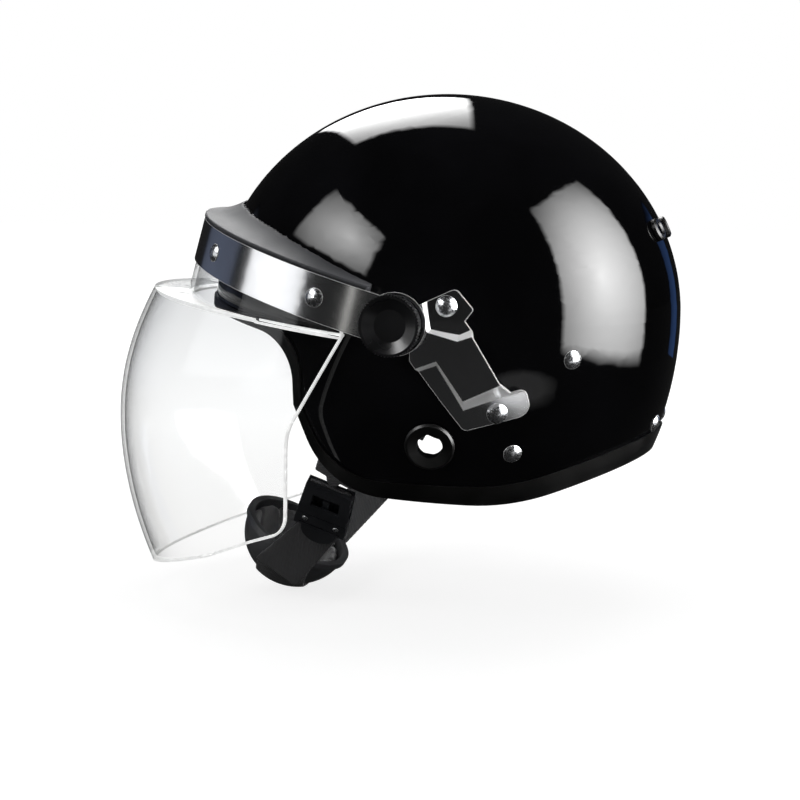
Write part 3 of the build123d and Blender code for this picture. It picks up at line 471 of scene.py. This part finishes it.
def woven_webbing():
    """Black nylon webbing: warp and weft from the strap's own across and along places, with painted shade in
    the weave's hollows and painted sheen on its crests.
    """
    material, nodes, links, shader = new_material("woven_webbing")
    place = coordinates(nodes, "UV")
    waves = []
    for axis, pitch in (("X", warp_pitch), ("Y", weft_pitch)):
        turn = maths(nodes, links, "MULTIPLY", axis_of(nodes, links, place, axis), 2.0 * pi / pitch)
        waves.append(maths(nodes, links, "SINE", turn))
    weave = maths(nodes, links, "MULTIPLY", *waves)
    height = spread(nodes, links, weave, low=0.0, high=1.0, low_at=-1.0, high_at=1.0)
    # Painted shade in the hollows and painted sheen on the crests of the weave, from the bump's height
    colour = ramp(nodes, links, height, web_hollow_painted_shade, web_crest_painted_sheen, low_at=0.2, high_at=0.8)
    links.new(colour, shader.inputs["Base Color"])
    shader.inputs["Roughness"].default_value = 0.55
    shader.inputs["Sheen Weight"].default_value = 0.15
    bump(nodes, links, height, shader, strength=0.9, depth=0.0005)
    return material


def make_materials():
    """Every finish on the helmet, by the name that the pieces use."""
    return {
        "shell": gloss_shell(),
        "trim": moulded(
            "trim_rubber", dark=(0.002, 0.002, 0.002), light=(0.004, 0.004, 0.004),
            rough=(0.30, 0.42), grain=900.0, relief=0.12, specular=0.3,
        ),
        "seal": moulded(
            "seal_rubber", dark=(0.030, 0.031, 0.034), light=(0.042, 0.043, 0.047),
            rough=(0.5, 0.62), grain=1100.0, relief=0.4, specular=0.12,
        ),
        "knob": moulded(
            "knob_plastic", dark=(0.003, 0.003, 0.0035), light=(0.006, 0.006, 0.007),
            rough=(0.24, 0.34), grain=1500.0, relief=0.15, specular=0.4,
        ),
        "buckle": moulded(
            "buckle_plastic", dark=(0.010, 0.011, 0.013), light=(0.017, 0.018, 0.021),
            rough=(0.30, 0.42), grain=1300.0, relief=0.2, specular=0.4,
        ),
        "cup": moulded(
            "cup_plastic", dark=(0.040, 0.041, 0.044), light=(0.055, 0.056, 0.060),
            rough=(0.28, 0.38), grain=1000.0, relief=0.15, specular=0.5,
        ),
        "band": polished_steel(
            "band_steel", steel, rough=(0.10, 0.17), brush=500.0, stretch=(1.0, 1.0, 18.0), edge=0.0006
        ),
        # Bracket: painted highlight on its edges and on its bends
        "bracket": polished_steel(
            "bracket_steel", steel, rough=(0.08, 0.15), brush=400.0, stretch=(1.0, 1.0, 6.0), edge=0.0008,
            bend_highlights=True,
        ),
        "rivet": polished_steel("rivet_steel", (0.62, 0.63, 0.65), rough=(0.20, 0.30), brush=900.0),
        "washer": polished_steel("washer_steel", (0.55, 0.56, 0.58), rough=(0.22, 0.34), brush=900.0),
        "visor": clear_visor(),
        "edge": painted_glow_edge(),
        "foam": bead_foam(),
        "lining": knit_lining(),
        "webbing": woven_webbing(),
    }


# Light, floor and camera

def put(name, data):
    """New object that holds some data, in the scene."""
    thing = bpy.data.objects.new(name, data)
    bpy.context.collection.objects.link(thing)
    return thing


def ray_kinds(nodes, links):
    """One where the backdrop is seen straight or through the visor, and one where it is
    only mirrored."""
    path = nodes.new("ShaderNodeLightPath")
    camera = path.outputs["Is Camera Ray"]
    through = path.outputs["Is Transmission Ray"]
    seen = maths(nodes, links, "ADD", camera, through, clamp=True)
    mirrored = maths(nodes, links, "SUBTRACT", path.outputs["Is Glossy Ray"], seen, clamp=True)
    return seen, mirrored


def make_camera():
    """Camera at the photograph's height and angle."""
    azimuth = radians(camera_azimuth)
    height = radians(camera_height)
    camera = put("camera", bpy.data.cameras.new("camera"))
    camera.data.lens = camera_lens
    camera.location = camera_place
    look = -Vector((sin(azimuth) * cos(height), -cos(azimuth) * cos(height), sin(height)))
    camera.rotation_euler = look.to_track_quat("-Z", "Y").to_euler()
    bpy.context.scene.camera = camera


def make_world():
    """White behind the object, soft fill for its surfaces, and a dim studio in its gloss."""
    world = bpy.data.worlds.new("studio")
    world.use_nodes = True
    bpy.context.scene.world = world
    nodes = world.node_tree.nodes
    links = world.node_tree.links
    seen, mirrored = ray_kinds(nodes, links)
    gloss = spread(nodes, links, mirrored, fill_level, mirrored_backdrop, low_at=0.0, high_at=1.0)
    level = nodes.new("ShaderNodeMix")
    level.inputs["B"].default_value = backdrop_level
    links.new(seen, level.inputs["Factor"])
    links.new(gloss, level.inputs["A"])
    links.new(level.outputs["Result"], nodes["Background"].inputs["Strength"])
    nodes["Background"].inputs["Color"].default_value = opaque(white)


def make_floor(height):
    """Pale floor that keeps the object's shadow and fades into the white backdrop."""
    mesh = bpy.data.meshes.new("floor")
    corners = [(-1, -1), (1, -1), (1, 1), (-1, 1)]
    mesh.from_pydata([(x * floor_half, y * floor_half, 0.0) for x, y in corners], [], [(0, 1, 2, 3)])
    floor = put("floor", mesh)
    floor.location = (0.0, 0.0, height)
    material, nodes, links, shader = new_material("floor_pale")
    shader.inputs["Base Color"].default_value = (floor_albedo, floor_albedo, floor_albedo, 1.0)
    shader.inputs["Roughness"].default_value = 1.0
    shader.inputs["Specular IOR Level"].default_value = 0.0
    shader.inputs["Emission Color"].default_value = opaque(white)
    place = coordinates(nodes, "Object")
    reach = distance_from(nodes, links, place, (0.0, 0.0, 0.0))
    glow = spread(
        nodes, links, reach, floor_glow_near, backdrop_level, low_at=floor_glow_start, high_at=floor_glow_end
    )
    seen, mirrored = ray_kinds(nodes, links)
    links.new(maths(nodes, links, "MULTIPLY", glow, seen), shader.inputs["Emission Strength"])
    spot = distance_from(nodes, links, place, floor_glint_place)
    glint = spread(
        nodes, links, spot, floor_glint, mirrored_floor, low_at=floor_glint_core, high_at=floor_glint_reach
    )
    dark = nodes.new("ShaderNodeEmission")
    links.new(glint, dark.inputs["Strength"])
    show_both(nodes, links, mirrored, shader.outputs["BSDF"], dark.outputs["Emission"])
    mesh.materials.append(material)


def panel(name, corners, level, hot, reach, edge, tint=white):
    """Soft box face that only gloss sees, brightest at its hot place, given in its own
    width and height, and fading towards its edges."""
    mesh = bpy.data.meshes.new(name)
    mesh.from_pydata([shell_middle + Vector(corner) for corner in corners], [], [(0, 1, 2, 3)])
    layer = mesh.uv_layers.new(name="UVMap")
    for corner, place in zip(layer.data, ((0, 0), (1, 0), (1, 1), (0, 1))):
        corner.uv = place
    thing = put(name, mesh)
    thing.visible_camera = False
    thing.visible_diffuse = False
    thing.visible_transmission = False
    thing.visible_volume_scatter = False
    thing.visible_shadow = False
    material, nodes, links, _ = new_material(name)
    nodes.clear()
    place = coordinates(nodes, "UV")
    apart = distance_from(nodes, links, place, (*hot, 0.0))
    fade = spread(nodes, links, apart, low=1.0, high=0.0, low_at=0.0, high_at=reach)
    fade_power = 1.6
    strength = maths(nodes, links, "POWER", fade, fade_power)
    for axis in ("X", "Y"):
        across = axis_of(nodes, links, place, axis)
        for low_at, high_at in ((0.0, edge), (1.0, 1.0 - edge)):
            side = spread(nodes, links, across, 0.0, 1.0, low_at=low_at, high_at=high_at)
            strength = maths(nodes, links, "MULTIPLY", strength, side)
    glow = nodes.new("ShaderNodeEmission")
    glow.inputs["Color"].default_value = opaque(tint)
    links.new(maths(nodes, links, "MULTIPLY", strength, level), glow.inputs["Strength"])
    out = nodes.new("ShaderNodeOutputMaterial")
    links.new(glow.outputs["Emission"], out.inputs["Surface"])
    mesh.materials.append(material)


def lamp(name, place, size, power):
    """Soft lamp that lights surfaces and doesn't show in gloss."""
    light = bpy.data.lights.new(name, "AREA")
    light.shape = "SQUARE"
    light.size = size
    light.energy = power
    thing = put(name, light)
    thing.location = shell_middle + Vector(place)
    thing.rotation_euler = (shell_middle - thing.location).to_track_quat("-Z", "Y").to_euler()
    thing.visible_glossy = False
    thing.visible_camera = False


def make_lights():
    """Lamps for the surfaces, and panels for the highlights of the gloss, all placed from
    the middle of the shell."""
    lamp("lamp_left", place=(-1.0, -1.1, 0.7), size=0.9, power=7.0)
    lamp("lamp_right", place=(1.1, -0.7, 0.5), size=0.9, power=5.0)
    lamp("lamp_top", place=(0.0, 0.2, 1.4), size=1.0, power=6.0)
    lamp("lamp_rear", place=(0.2, 1.3, 0.6), size=0.9, power=4.0)
    panel(
        "panel_right",
        [(0.62, -0.435, -0.165), (0.62, 0.165, -0.165), (0.62, 0.27, 0.80), (0.62, -0.415, 0.88)],
        level=38.0, hot=(0.45, 0.35), reach=0.95, edge=0.05,
    )
    panel(
        "panel_left",
        [
            (-0.7125, -1.37, 0.4685), (-0.5165, -1.1985, 0.9465),
            (-1.0185, -0.2485, 1.202), (-1.3855, -0.323, 0.7245),
        ],
        level=20.0, hot=(0.5, 0.4), reach=1.0, edge=0.06,
    )
    panel(
        "panel_top",
        [(-0.76, 0.35, 1.2), (0.06, 0.35, 1.2), (-0.30, 1.84, 0.97), (-1.03, 1.94, 0.68)],
        level=18.0, hot=(0.5, 0.5), reach=1.2, edge=0.05,
    )
    panel(
        "panel_band",
        [(-0.631, -0.687, -0.10), (-0.867, -0.223, -0.04), (-0.867, -0.223, 0.32), (-0.631, -0.687, 0.22)],
        level=1.5, hot=(0.5, 0.5), reach=4.0, edge=0.03,
    )
    panel(
        "panel_blue",
        [(-0.90, -0.12, -0.10), (-0.74, 0.42, -0.10), (-0.74, 0.42, 0.35), (-0.90, -0.12, 0.35)],
        level=0.16, hot=(0.5, 0.5), reach=4.0, edge=0.10, tint=(0.62, 0.72, 1.0),
    )
    panel(
        "panel_far_blue",
        [(0.44, 0.88, -0.45), (0.62, 0.72, -0.45), (0.62, 0.72, 0.35), (0.44, 0.88, 0.35)],
        level=0.45, hot=(0.5, 0.5), reach=3.0, edge=0.12, tint=(0.16, 0.34, 0.9),
    )
    panel(
        "panel_strip",
        [(-0.34, -0.97, -0.25), (-0.40, -0.95, -0.25), (-0.40, -0.95, 0.25), (-0.34, -0.97, 0.25)],
        level=0.6, hot=(0.5, 0.5), reach=4.0, edge=0.15, tint=(1.0, 0.98, 0.92),
    )


# Skins of the pieces

def finish_with(thing, material):
    """Give a piece one finish."""
    thing.data.materials.clear()
    thing.data.materials.append(material)


def round_faces(mesh):
    """Shade a mesh without facets."""
    for face in mesh.polygons:
        face.use_smooth = True


def bake_modifiers(thing):
    """Keep a piece's evaluated mesh and drop its modifiers."""
    graph = bpy.context.evaluated_depsgraph_get()
    mesh = bpy.data.meshes.new_from_object(thing.evaluated_get(graph), depsgraph=graph)
    thing.modifiers.clear()
    thing.data = mesh


def piece_from(name, node, voxel):
    """Copy of a node's mesh, remeshed into an even skin."""
    thing = put(name, frame["nodes"][node].data.copy())
    remesh = thing.modifiers.new("remesh", "REMESH")
    remesh.mode = "VOXEL"
    remesh.voxel_size = voxel
    bake_modifiers(thing)
    return thing


def smooth(thing, rounds):
    """Soften the edges of a skin."""
    shape = bmesh.new()
    shape.from_mesh(thing.data)
    for _ in range(rounds):
        bmesh.ops.smooth_vert(
            shape, verts=shape.verts, factor=smooth_factor,
            use_axis_x=True, use_axis_y=True, use_axis_z=True,
        )
    shape.to_mesh(thing.data)
    shape.free()


# Hard pieces

def dress(materials):
    """Give every node that stays the finish of its slot."""
    slots = {part["node"]: part["material_slot"] for part in frame["record"]["subparts"]}
    for node, thing in frame["nodes"].items():
        finish_with(thing, materials[slots[node]])


def not_visor_edge(face):
    """True for what isn't the shield's cut edge: its walls, its shelf, and at the front
    whatever doesn't look down."""
    middle = face.calc_center_median()
    wall = abs(face.normal.y) > visor_edge_slant
    front = abs(middle.y) < visor_front_half and face.normal.z > visor_front_slant
    return wall or front or middle.z > visor_shelf_height


def visor_edge(materials):
    """Sawn and polished edge of the shield, a skin whose painted glow makes a bright line down each side and
    below.
    """
    shape = bmesh.new()
    shape.from_mesh(frame["nodes"]["visor"].data)
    away = [face for face in shape.faces if not_visor_edge(face)]
    bmesh.ops.delete(shape, geom=away, context="FACES")
    shape.normal_update()
    inwards = {vertex: -vertex.normal * visor_edge_depth for vertex in shape.verts}
    grown = bmesh.ops.extrude_face_region(shape, geom=shape.faces[:], use_keep_orig=True)
    tree = kdtree.KDTree(len(inwards))
    starts = list(inwards)
    for index, vertex in enumerate(starts):
        tree.insert(vertex.co, index)
    tree.balance()
    for thing in grown["geom"]:
        if isinstance(thing, bmesh.types.BMVert):
            _, index, _ = tree.find(thing.co)
            thing.co += inwards[starts[index]]
    bmesh.ops.recalc_face_normals(shape, faces=shape.faces)
    shape.normal_update()
    for vertex in shape.verts:
        vertex.co += vertex.normal * visor_edge_proud
    mesh = bpy.data.meshes.new("visor_edge")
    shape.to_mesh(mesh)
    shape.free()
    edge = put("visor_edge", mesh)
    finish_with(edge, materials["edge"])
    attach(edge, "shield")


def keep_off(place, tree, gap):
    """A place, moved out to a small gap where it lies too near a surface or inside it."""
    nearest, normal, _, _ = tree.find_nearest(place)
    if (place - nearest).dot(normal) < gap:
        return nearest + normal * gap
    return place


def dished_seal(materials):
    """Rubber seal with a dished top face and thin rear ends, from the node's own skin."""
    shell = frame["nodes"]["outer_shell"]
    shape = bmesh.new()
    shape.from_mesh(shell.data)
    tree = BVHTree.FromBMesh(shape)
    shape.free()
    thing = piece_from("brow_seal_rubber", "brow_seal", seal_voxel)
    smooth(thing, rounds=2)
    for vertex in thing.data.vertices:
        place = vertex.co - band_middle
        height = place.dot(band_up)
        if height < seal_lip_top:
            continue
        rise = (height - seal_lip_top) / seal_top_rise
        dished = seal_flat_share * rise + (1.0 - seal_flat_share) * rise ** seal_dish_power
        ahead = min(1.0, max(0.0, (place.dot(band_ahead) - seal_rear) / seal_run))
        full = seal_end_share + (1.0 - seal_end_share) * ahead * (2.0 - ahead)
        moved = vertex.co + band_up * (seal_top_rise * (dished * full - rise))
        vertex.co = keep_off(moved, tree, seal_shell_gap)
    round_faces(thing.data)
    finish_with(thing, materials["seal"])
    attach(thing, "shield")
    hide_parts("brow_seal")


# Soft pieces

def inflate(thing):
    """Blow the skin up a little with cloth simulation, no point further than the cap."""
    before = [vertex.co.copy() for vertex in thing.data.vertices]
    cloth = thing.modifiers.new("cloth", "CLOTH")
    cloth.settings.use_pressure = True
    cloth.settings.uniform_pressure_force = cloth_pressure
    cloth.settings.effector_weights.gravity = 0.0
    cloth.settings.quality = cloth_quality
    scene = bpy.context.scene
    for step in range(1, cloth_steps + 1):
        scene.frame_set(step)
    bake_modifiers(thing)
    for vertex, start in zip(thing.data.vertices, before):
        move = vertex.co - start
        if move.length > cloth_cap:
            vertex.co = start + move.normalized() * cloth_cap
    scene.frame_set(1)


def subdivide(thing):
    """One smooth subdivision, kept."""
    level = thing.modifiers.new("smooth", "SUBSURF")
    level.levels = 1
    level.render_levels = 1
    bake_modifiers(thing)
    round_faces(thing.data)


def press_in(thing, depth_at):
    """Move each point along its normal, inwards by a depth that its place gives."""
    normals = [vertex.normal.copy() for vertex in thing.data.vertices]
    for vertex, normal in zip(thing.data.vertices, normals):
        vertex.co -= normal * depth_at(vertex.co)


def groove(distance, width, depth):
    """Depth of a sewn channel at a distance from its line."""
    return depth * exp(-((distance / width) ** 2))


def crown_channels(place):
    """Seams of the crown lining: a ring, and outside it straight seams through its middle."""
    x = place.x - crown_ring_x
    reach = hypot(x, place.y)
    depth = groove(reach - crown_ring_radius, crown_channel_width, crown_channel_depth)
    if reach > crown_ring_radius:
        for seam in range(crown_seams):
            turn = seam * pi / crown_seams
            across = x * sin(turn) - place.y * cos(turn)
            depth = max(depth, groove(across, crown_channel_width, crown_channel_depth))
    return depth


def row_channels(axis, pitch):
    """Seams in a row along one axis, at a pitch from the middle."""
    def depth_at(place):
        off = (place[axis] + pitch / 2) % pitch - pitch / 2
        return groove(off, channel_width, channel_depth)
    return depth_at


def pad(name, node, body, material, depth_at, voxel=pad_voxel):
    """Padded piece in place of a node, with sewn channels pressed in last."""
    thing = piece_from(name, node, voxel)
    smooth(thing, pad_rounds)
    inflate(thing)
    subdivide(thing)
    subdivide(thing)
    press_in(thing, depth_at)
    finish_with(thing, material)
    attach(thing, body)
    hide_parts(node)


def make_pads(materials):
    """Crown, brow, cheek, neck and chin pads."""
    cloth = materials["lining"]
    x_axis = 0
    y_axis = 1
    pad("crown_lining", "crown_pad", "shell", cloth, crown_channels)
    pad("brow_roll", "brow_pad", "shell", cloth, row_channels(y_axis, brow_channel_pitch))
    for side in ("left", "right"):
        seams = row_channels(x_axis, cheek_channel_pitch)
        pad("cheek_cushion_" + side, "cheek_pad_" + side, "shell", cloth, seams)
    pad("nape_roll", "neck_pad", "shell", cloth, row_channels(y_axis, nape_channel_pitch))
    seams = row_channels(y_axis, chin_channel_pitch)
    pad("chin_cushion", "chin_pad", "chin_strap", cloth, seams, voxel=chin_pad_voxel)


# Webbing

def squared(value, power):
    """A sine or cosine drawn out towards one, which squares a round section."""
    return abs(value) ** power * (1 if value >= 0 else -1)


def web_section():
    """Flat oval section of the webbing, as shares of its half width and half thickness."""
    section = []
    for step in range(web_section_points):
        turn = 2.0 * pi * step / web_section_points
        section.append((squared(cos(turn), web_square_across), squared(sin(turn), web_square_up)))
    return section


def web_rows(stations):
    """Close rows between the stations: middle, across, normal, half width and the way
    travelled so far."""
    rows = []
    travelled = 0.0
    for (a_mid, a_x, a_n, a_half), (b_mid, b_x, b_n, b_half) in zip(stations, stations[1:]):
        length = (b_mid - a_mid).length
        steps = max(2, round(length / web_row_pitch))
        for step in range(steps):
            share = step / steps
            across = a_x.lerp(b_x, share).normalized()
            normal = a_n.lerp(b_n, share).normalized()
            half = a_half + (b_half - a_half) * share
            rows.append((a_mid.lerp(b_mid, share), across, normal, half, travelled + length * share))
        travelled += length
    return rows + [(*stations[-1], travelled)]


def webbing_ribbon(name, stations, material):
    """Flat webbing with rolled selvedges through a row of stations, each one a middle, a
    place across, a normal and a half width. Its texture places are metres across and
    along."""
    section = web_section()
    rows = web_rows(stations)
    verts = []
    places = []
    for middle, across, normal, half, along in rows:
        wave = 0.5 + 0.5 * sin(2.0 * pi * along / web_ripple_pitch)
        wide = half * (1.0 - web_ripple * wave)
        for side, lift in section:
            past = max(0.0, abs(side) - web_selvedge_start) / (1.0 - web_selvedge_start)
            thick = web_thick * web_thick_share * (1.0 - web_selvedge_thin * past)
            verts.append(middle + across * side * wide + normal * lift * thick / 2)
            places.append((side * half, along))
    count = len(section)
    last = (len(rows) - 1) * count
    faces = []
    for start in range(0, last, count):
        for step in range(count):
            after = (step + 1) % count
            faces.append((start + step, start + after, start + count + after, start + count + step))
    faces.append(tuple(reversed(range(count))))
    faces.append(tuple(range(last, last + count)))
    mesh = bpy.data.meshes.new(name)
    mesh.from_pydata(verts, [], faces)
    layer = mesh.uv_layers.new(name="UVMap")
    for corner, loop in zip(layer.data, mesh.loops):
        corner.uv = places[loop.vertex_index]
    round_faces(mesh)
    shape = bmesh.new()
    shape.from_mesh(mesh)
    bmesh.ops.recalc_face_normals(shape, faces=shape.faces)
    shape.to_mesh(mesh)
    shape.free()
    thing = put(name, mesh)
    finish_with(thing, material)
    return thing


def strap_frame():
    """Where the left strap leaves the rim, and its ways down, across and outwards."""
    grow = -shell_wall - trim_wrap - layer_gap - web_thick / 2
    long_share = strap_exit_x / (shell_half_length + grow)
    low_share = strap_exit_drop / (skirt_reach + grow)
    y = -(shell_half_width + grow) * sqrt(1.0 - long_share ** 2 - low_share ** 2)
    across = Vector(strap_across_share).normalized()
    out = Vector(strap_down_share).cross(across).normalized()
    origin = shell_middle + Vector((strap_exit_x, y, -strap_exit_drop))
    return origin, across.cross(out), across, out


strap_origin, strap_down, strap_across, strap_out = strap_frame()


def strap_point(distance):
    """Middle of the left strap at a distance down from the rim."""
    return strap_origin + strap_down * distance


def cup_touch(start):
    """Where a flat run from a starting place touches the webbing under the cup."""
    grow = cup_web_gap * 2 + web_thick * 3 / 2
    wide = cup_half_width + grow
    deep = cup_depth + grow
    offset = start - cup_middle
    ratio_y = -offset.y / wide
    ratio_z = offset.dot(cup_up) / deep
    turn = acos(1.0 / hypot(ratio_y, ratio_z)) - atan2(ratio_z, ratio_y)
    side = Vector((0.0, wide * cos(turn), 0.0))
    return cup_middle + cup_across * cup_web_offset - side - cup_up * (deep * sin(turn))


def run_ends(start, lead):
    """Places of the flat run from a fitting to the side of the cup."""
    second = strap_point(lead)
    third = cup_touch(second)
    return strap_point(start), second, third, third + (third - second).normalized() * run_lap


def mirrored_by(place, flip):
    """A place, or its twin on the wearer's other side."""
    return Vector((place.x, place.y * flip, place.z))


def strap_stations(start, end, flip):
    """Stations of the straight free webbing between two distances from the rim."""
    across = mirrored_by(strap_across, flip)
    out = mirrored_by(strap_out, flip)
    return [(mirrored_by(strap_point(down), flip), across, out, web_width / 2) for down in (start, end)]


def outward(across, travel):
    """Normal of a run on the side that looks away from the chin."""
    normal = across.cross(travel)
    return normal if normal.dot(strap_out) > 0 else -normal


def run_stations(ends, flip):
    """Stations of the flat run from a fitting to the side of the cup."""
    first, second, third, last = ends
    travel = (third - second).normalized()
    out_first = outward(strap_across, (second - first).normalized())
    out_second = outward(strap_across, travel)
    out_last = outward(cup_across, travel)
    bend = (out_first + out_second).normalized()
    rows = [
        (first, strap_across, out_first, web_width / 2),
        (second, strap_across, bend, web_width / 2),
        (third, cup_across, out_last, cup_web_width / 2),
        (last, cup_across, out_last, cup_web_width / 2),
    ]
    return [(*(mirrored_by(place, flip) for place in row[:3]), row[3]) for row in rows]


def webbing_skin(node, body, across, along, material):
    """Webbing that keeps its node's form, with its weave along two ways."""
    thing = piece_from(node + "_cloth", node, web_skin_voxel)
    smooth(thing, web_skin_rounds)
    layer = thing.data.uv_layers.new(name="UVMap")
    for corner, loop in zip(layer.data, thing.data.loops):
        place = thing.data.vertices[loop.vertex_index].co
        corner.uv = (place.dot(across), place.dot(along))
    round_faces(thing.data)
    finish_with(thing, material)
    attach(thing, body)
    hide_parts(node)


def make_webbing(materials):
    """Free straps, the runs to the cup and the webbing inside the shell and under the cup."""
    cloth = materials["webbing"]
    near = 1
    far = -1
    clip_ends = run_ends(clip_bar, clip_lead)
    slide_ends = run_ends(slide_bar, slide_lead)
    left = webbing_ribbon("free_strap_left", strap_stations(free_top, socket_pocket_end, near), cloth)
    right = webbing_ribbon("free_strap_right", strap_stations(free_top, slide_pocket_end, far), cloth)
    clip = webbing_ribbon("clip_run", run_stations(clip_ends, near), cloth)
    slide = webbing_ribbon("slide_run", run_stations(slide_ends, far), cloth)
    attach(left, "chin_strap")
    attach(right, "chin_strap")
    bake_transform(clip)
    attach(slide, "chin_strap")
    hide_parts("lower_strap_left")
    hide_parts("lower_strap_right")
    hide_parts("clip_web")
    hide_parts("slider_web")
    for node in ("upper_strap_left", "upper_strap_right"):
        webbing_skin(node, "shell", upper_across, upper_along, cloth)
    webbing_skin("chin_web", "chin_strap", cup_across, Vector((0.0, 1.0, 0.0)), cloth)


bpy.context.scene.view_settings.view_transform = "Standard"
make_camera()
make_world()
make_lights()
make_floor(cad_box[0][2] - floor_drop)
finishes = make_materials()
dress(finishes)
visor_edge(finishes)
dished_seal(finishes)
make_pads(finishes)
make_webbing(finishes)
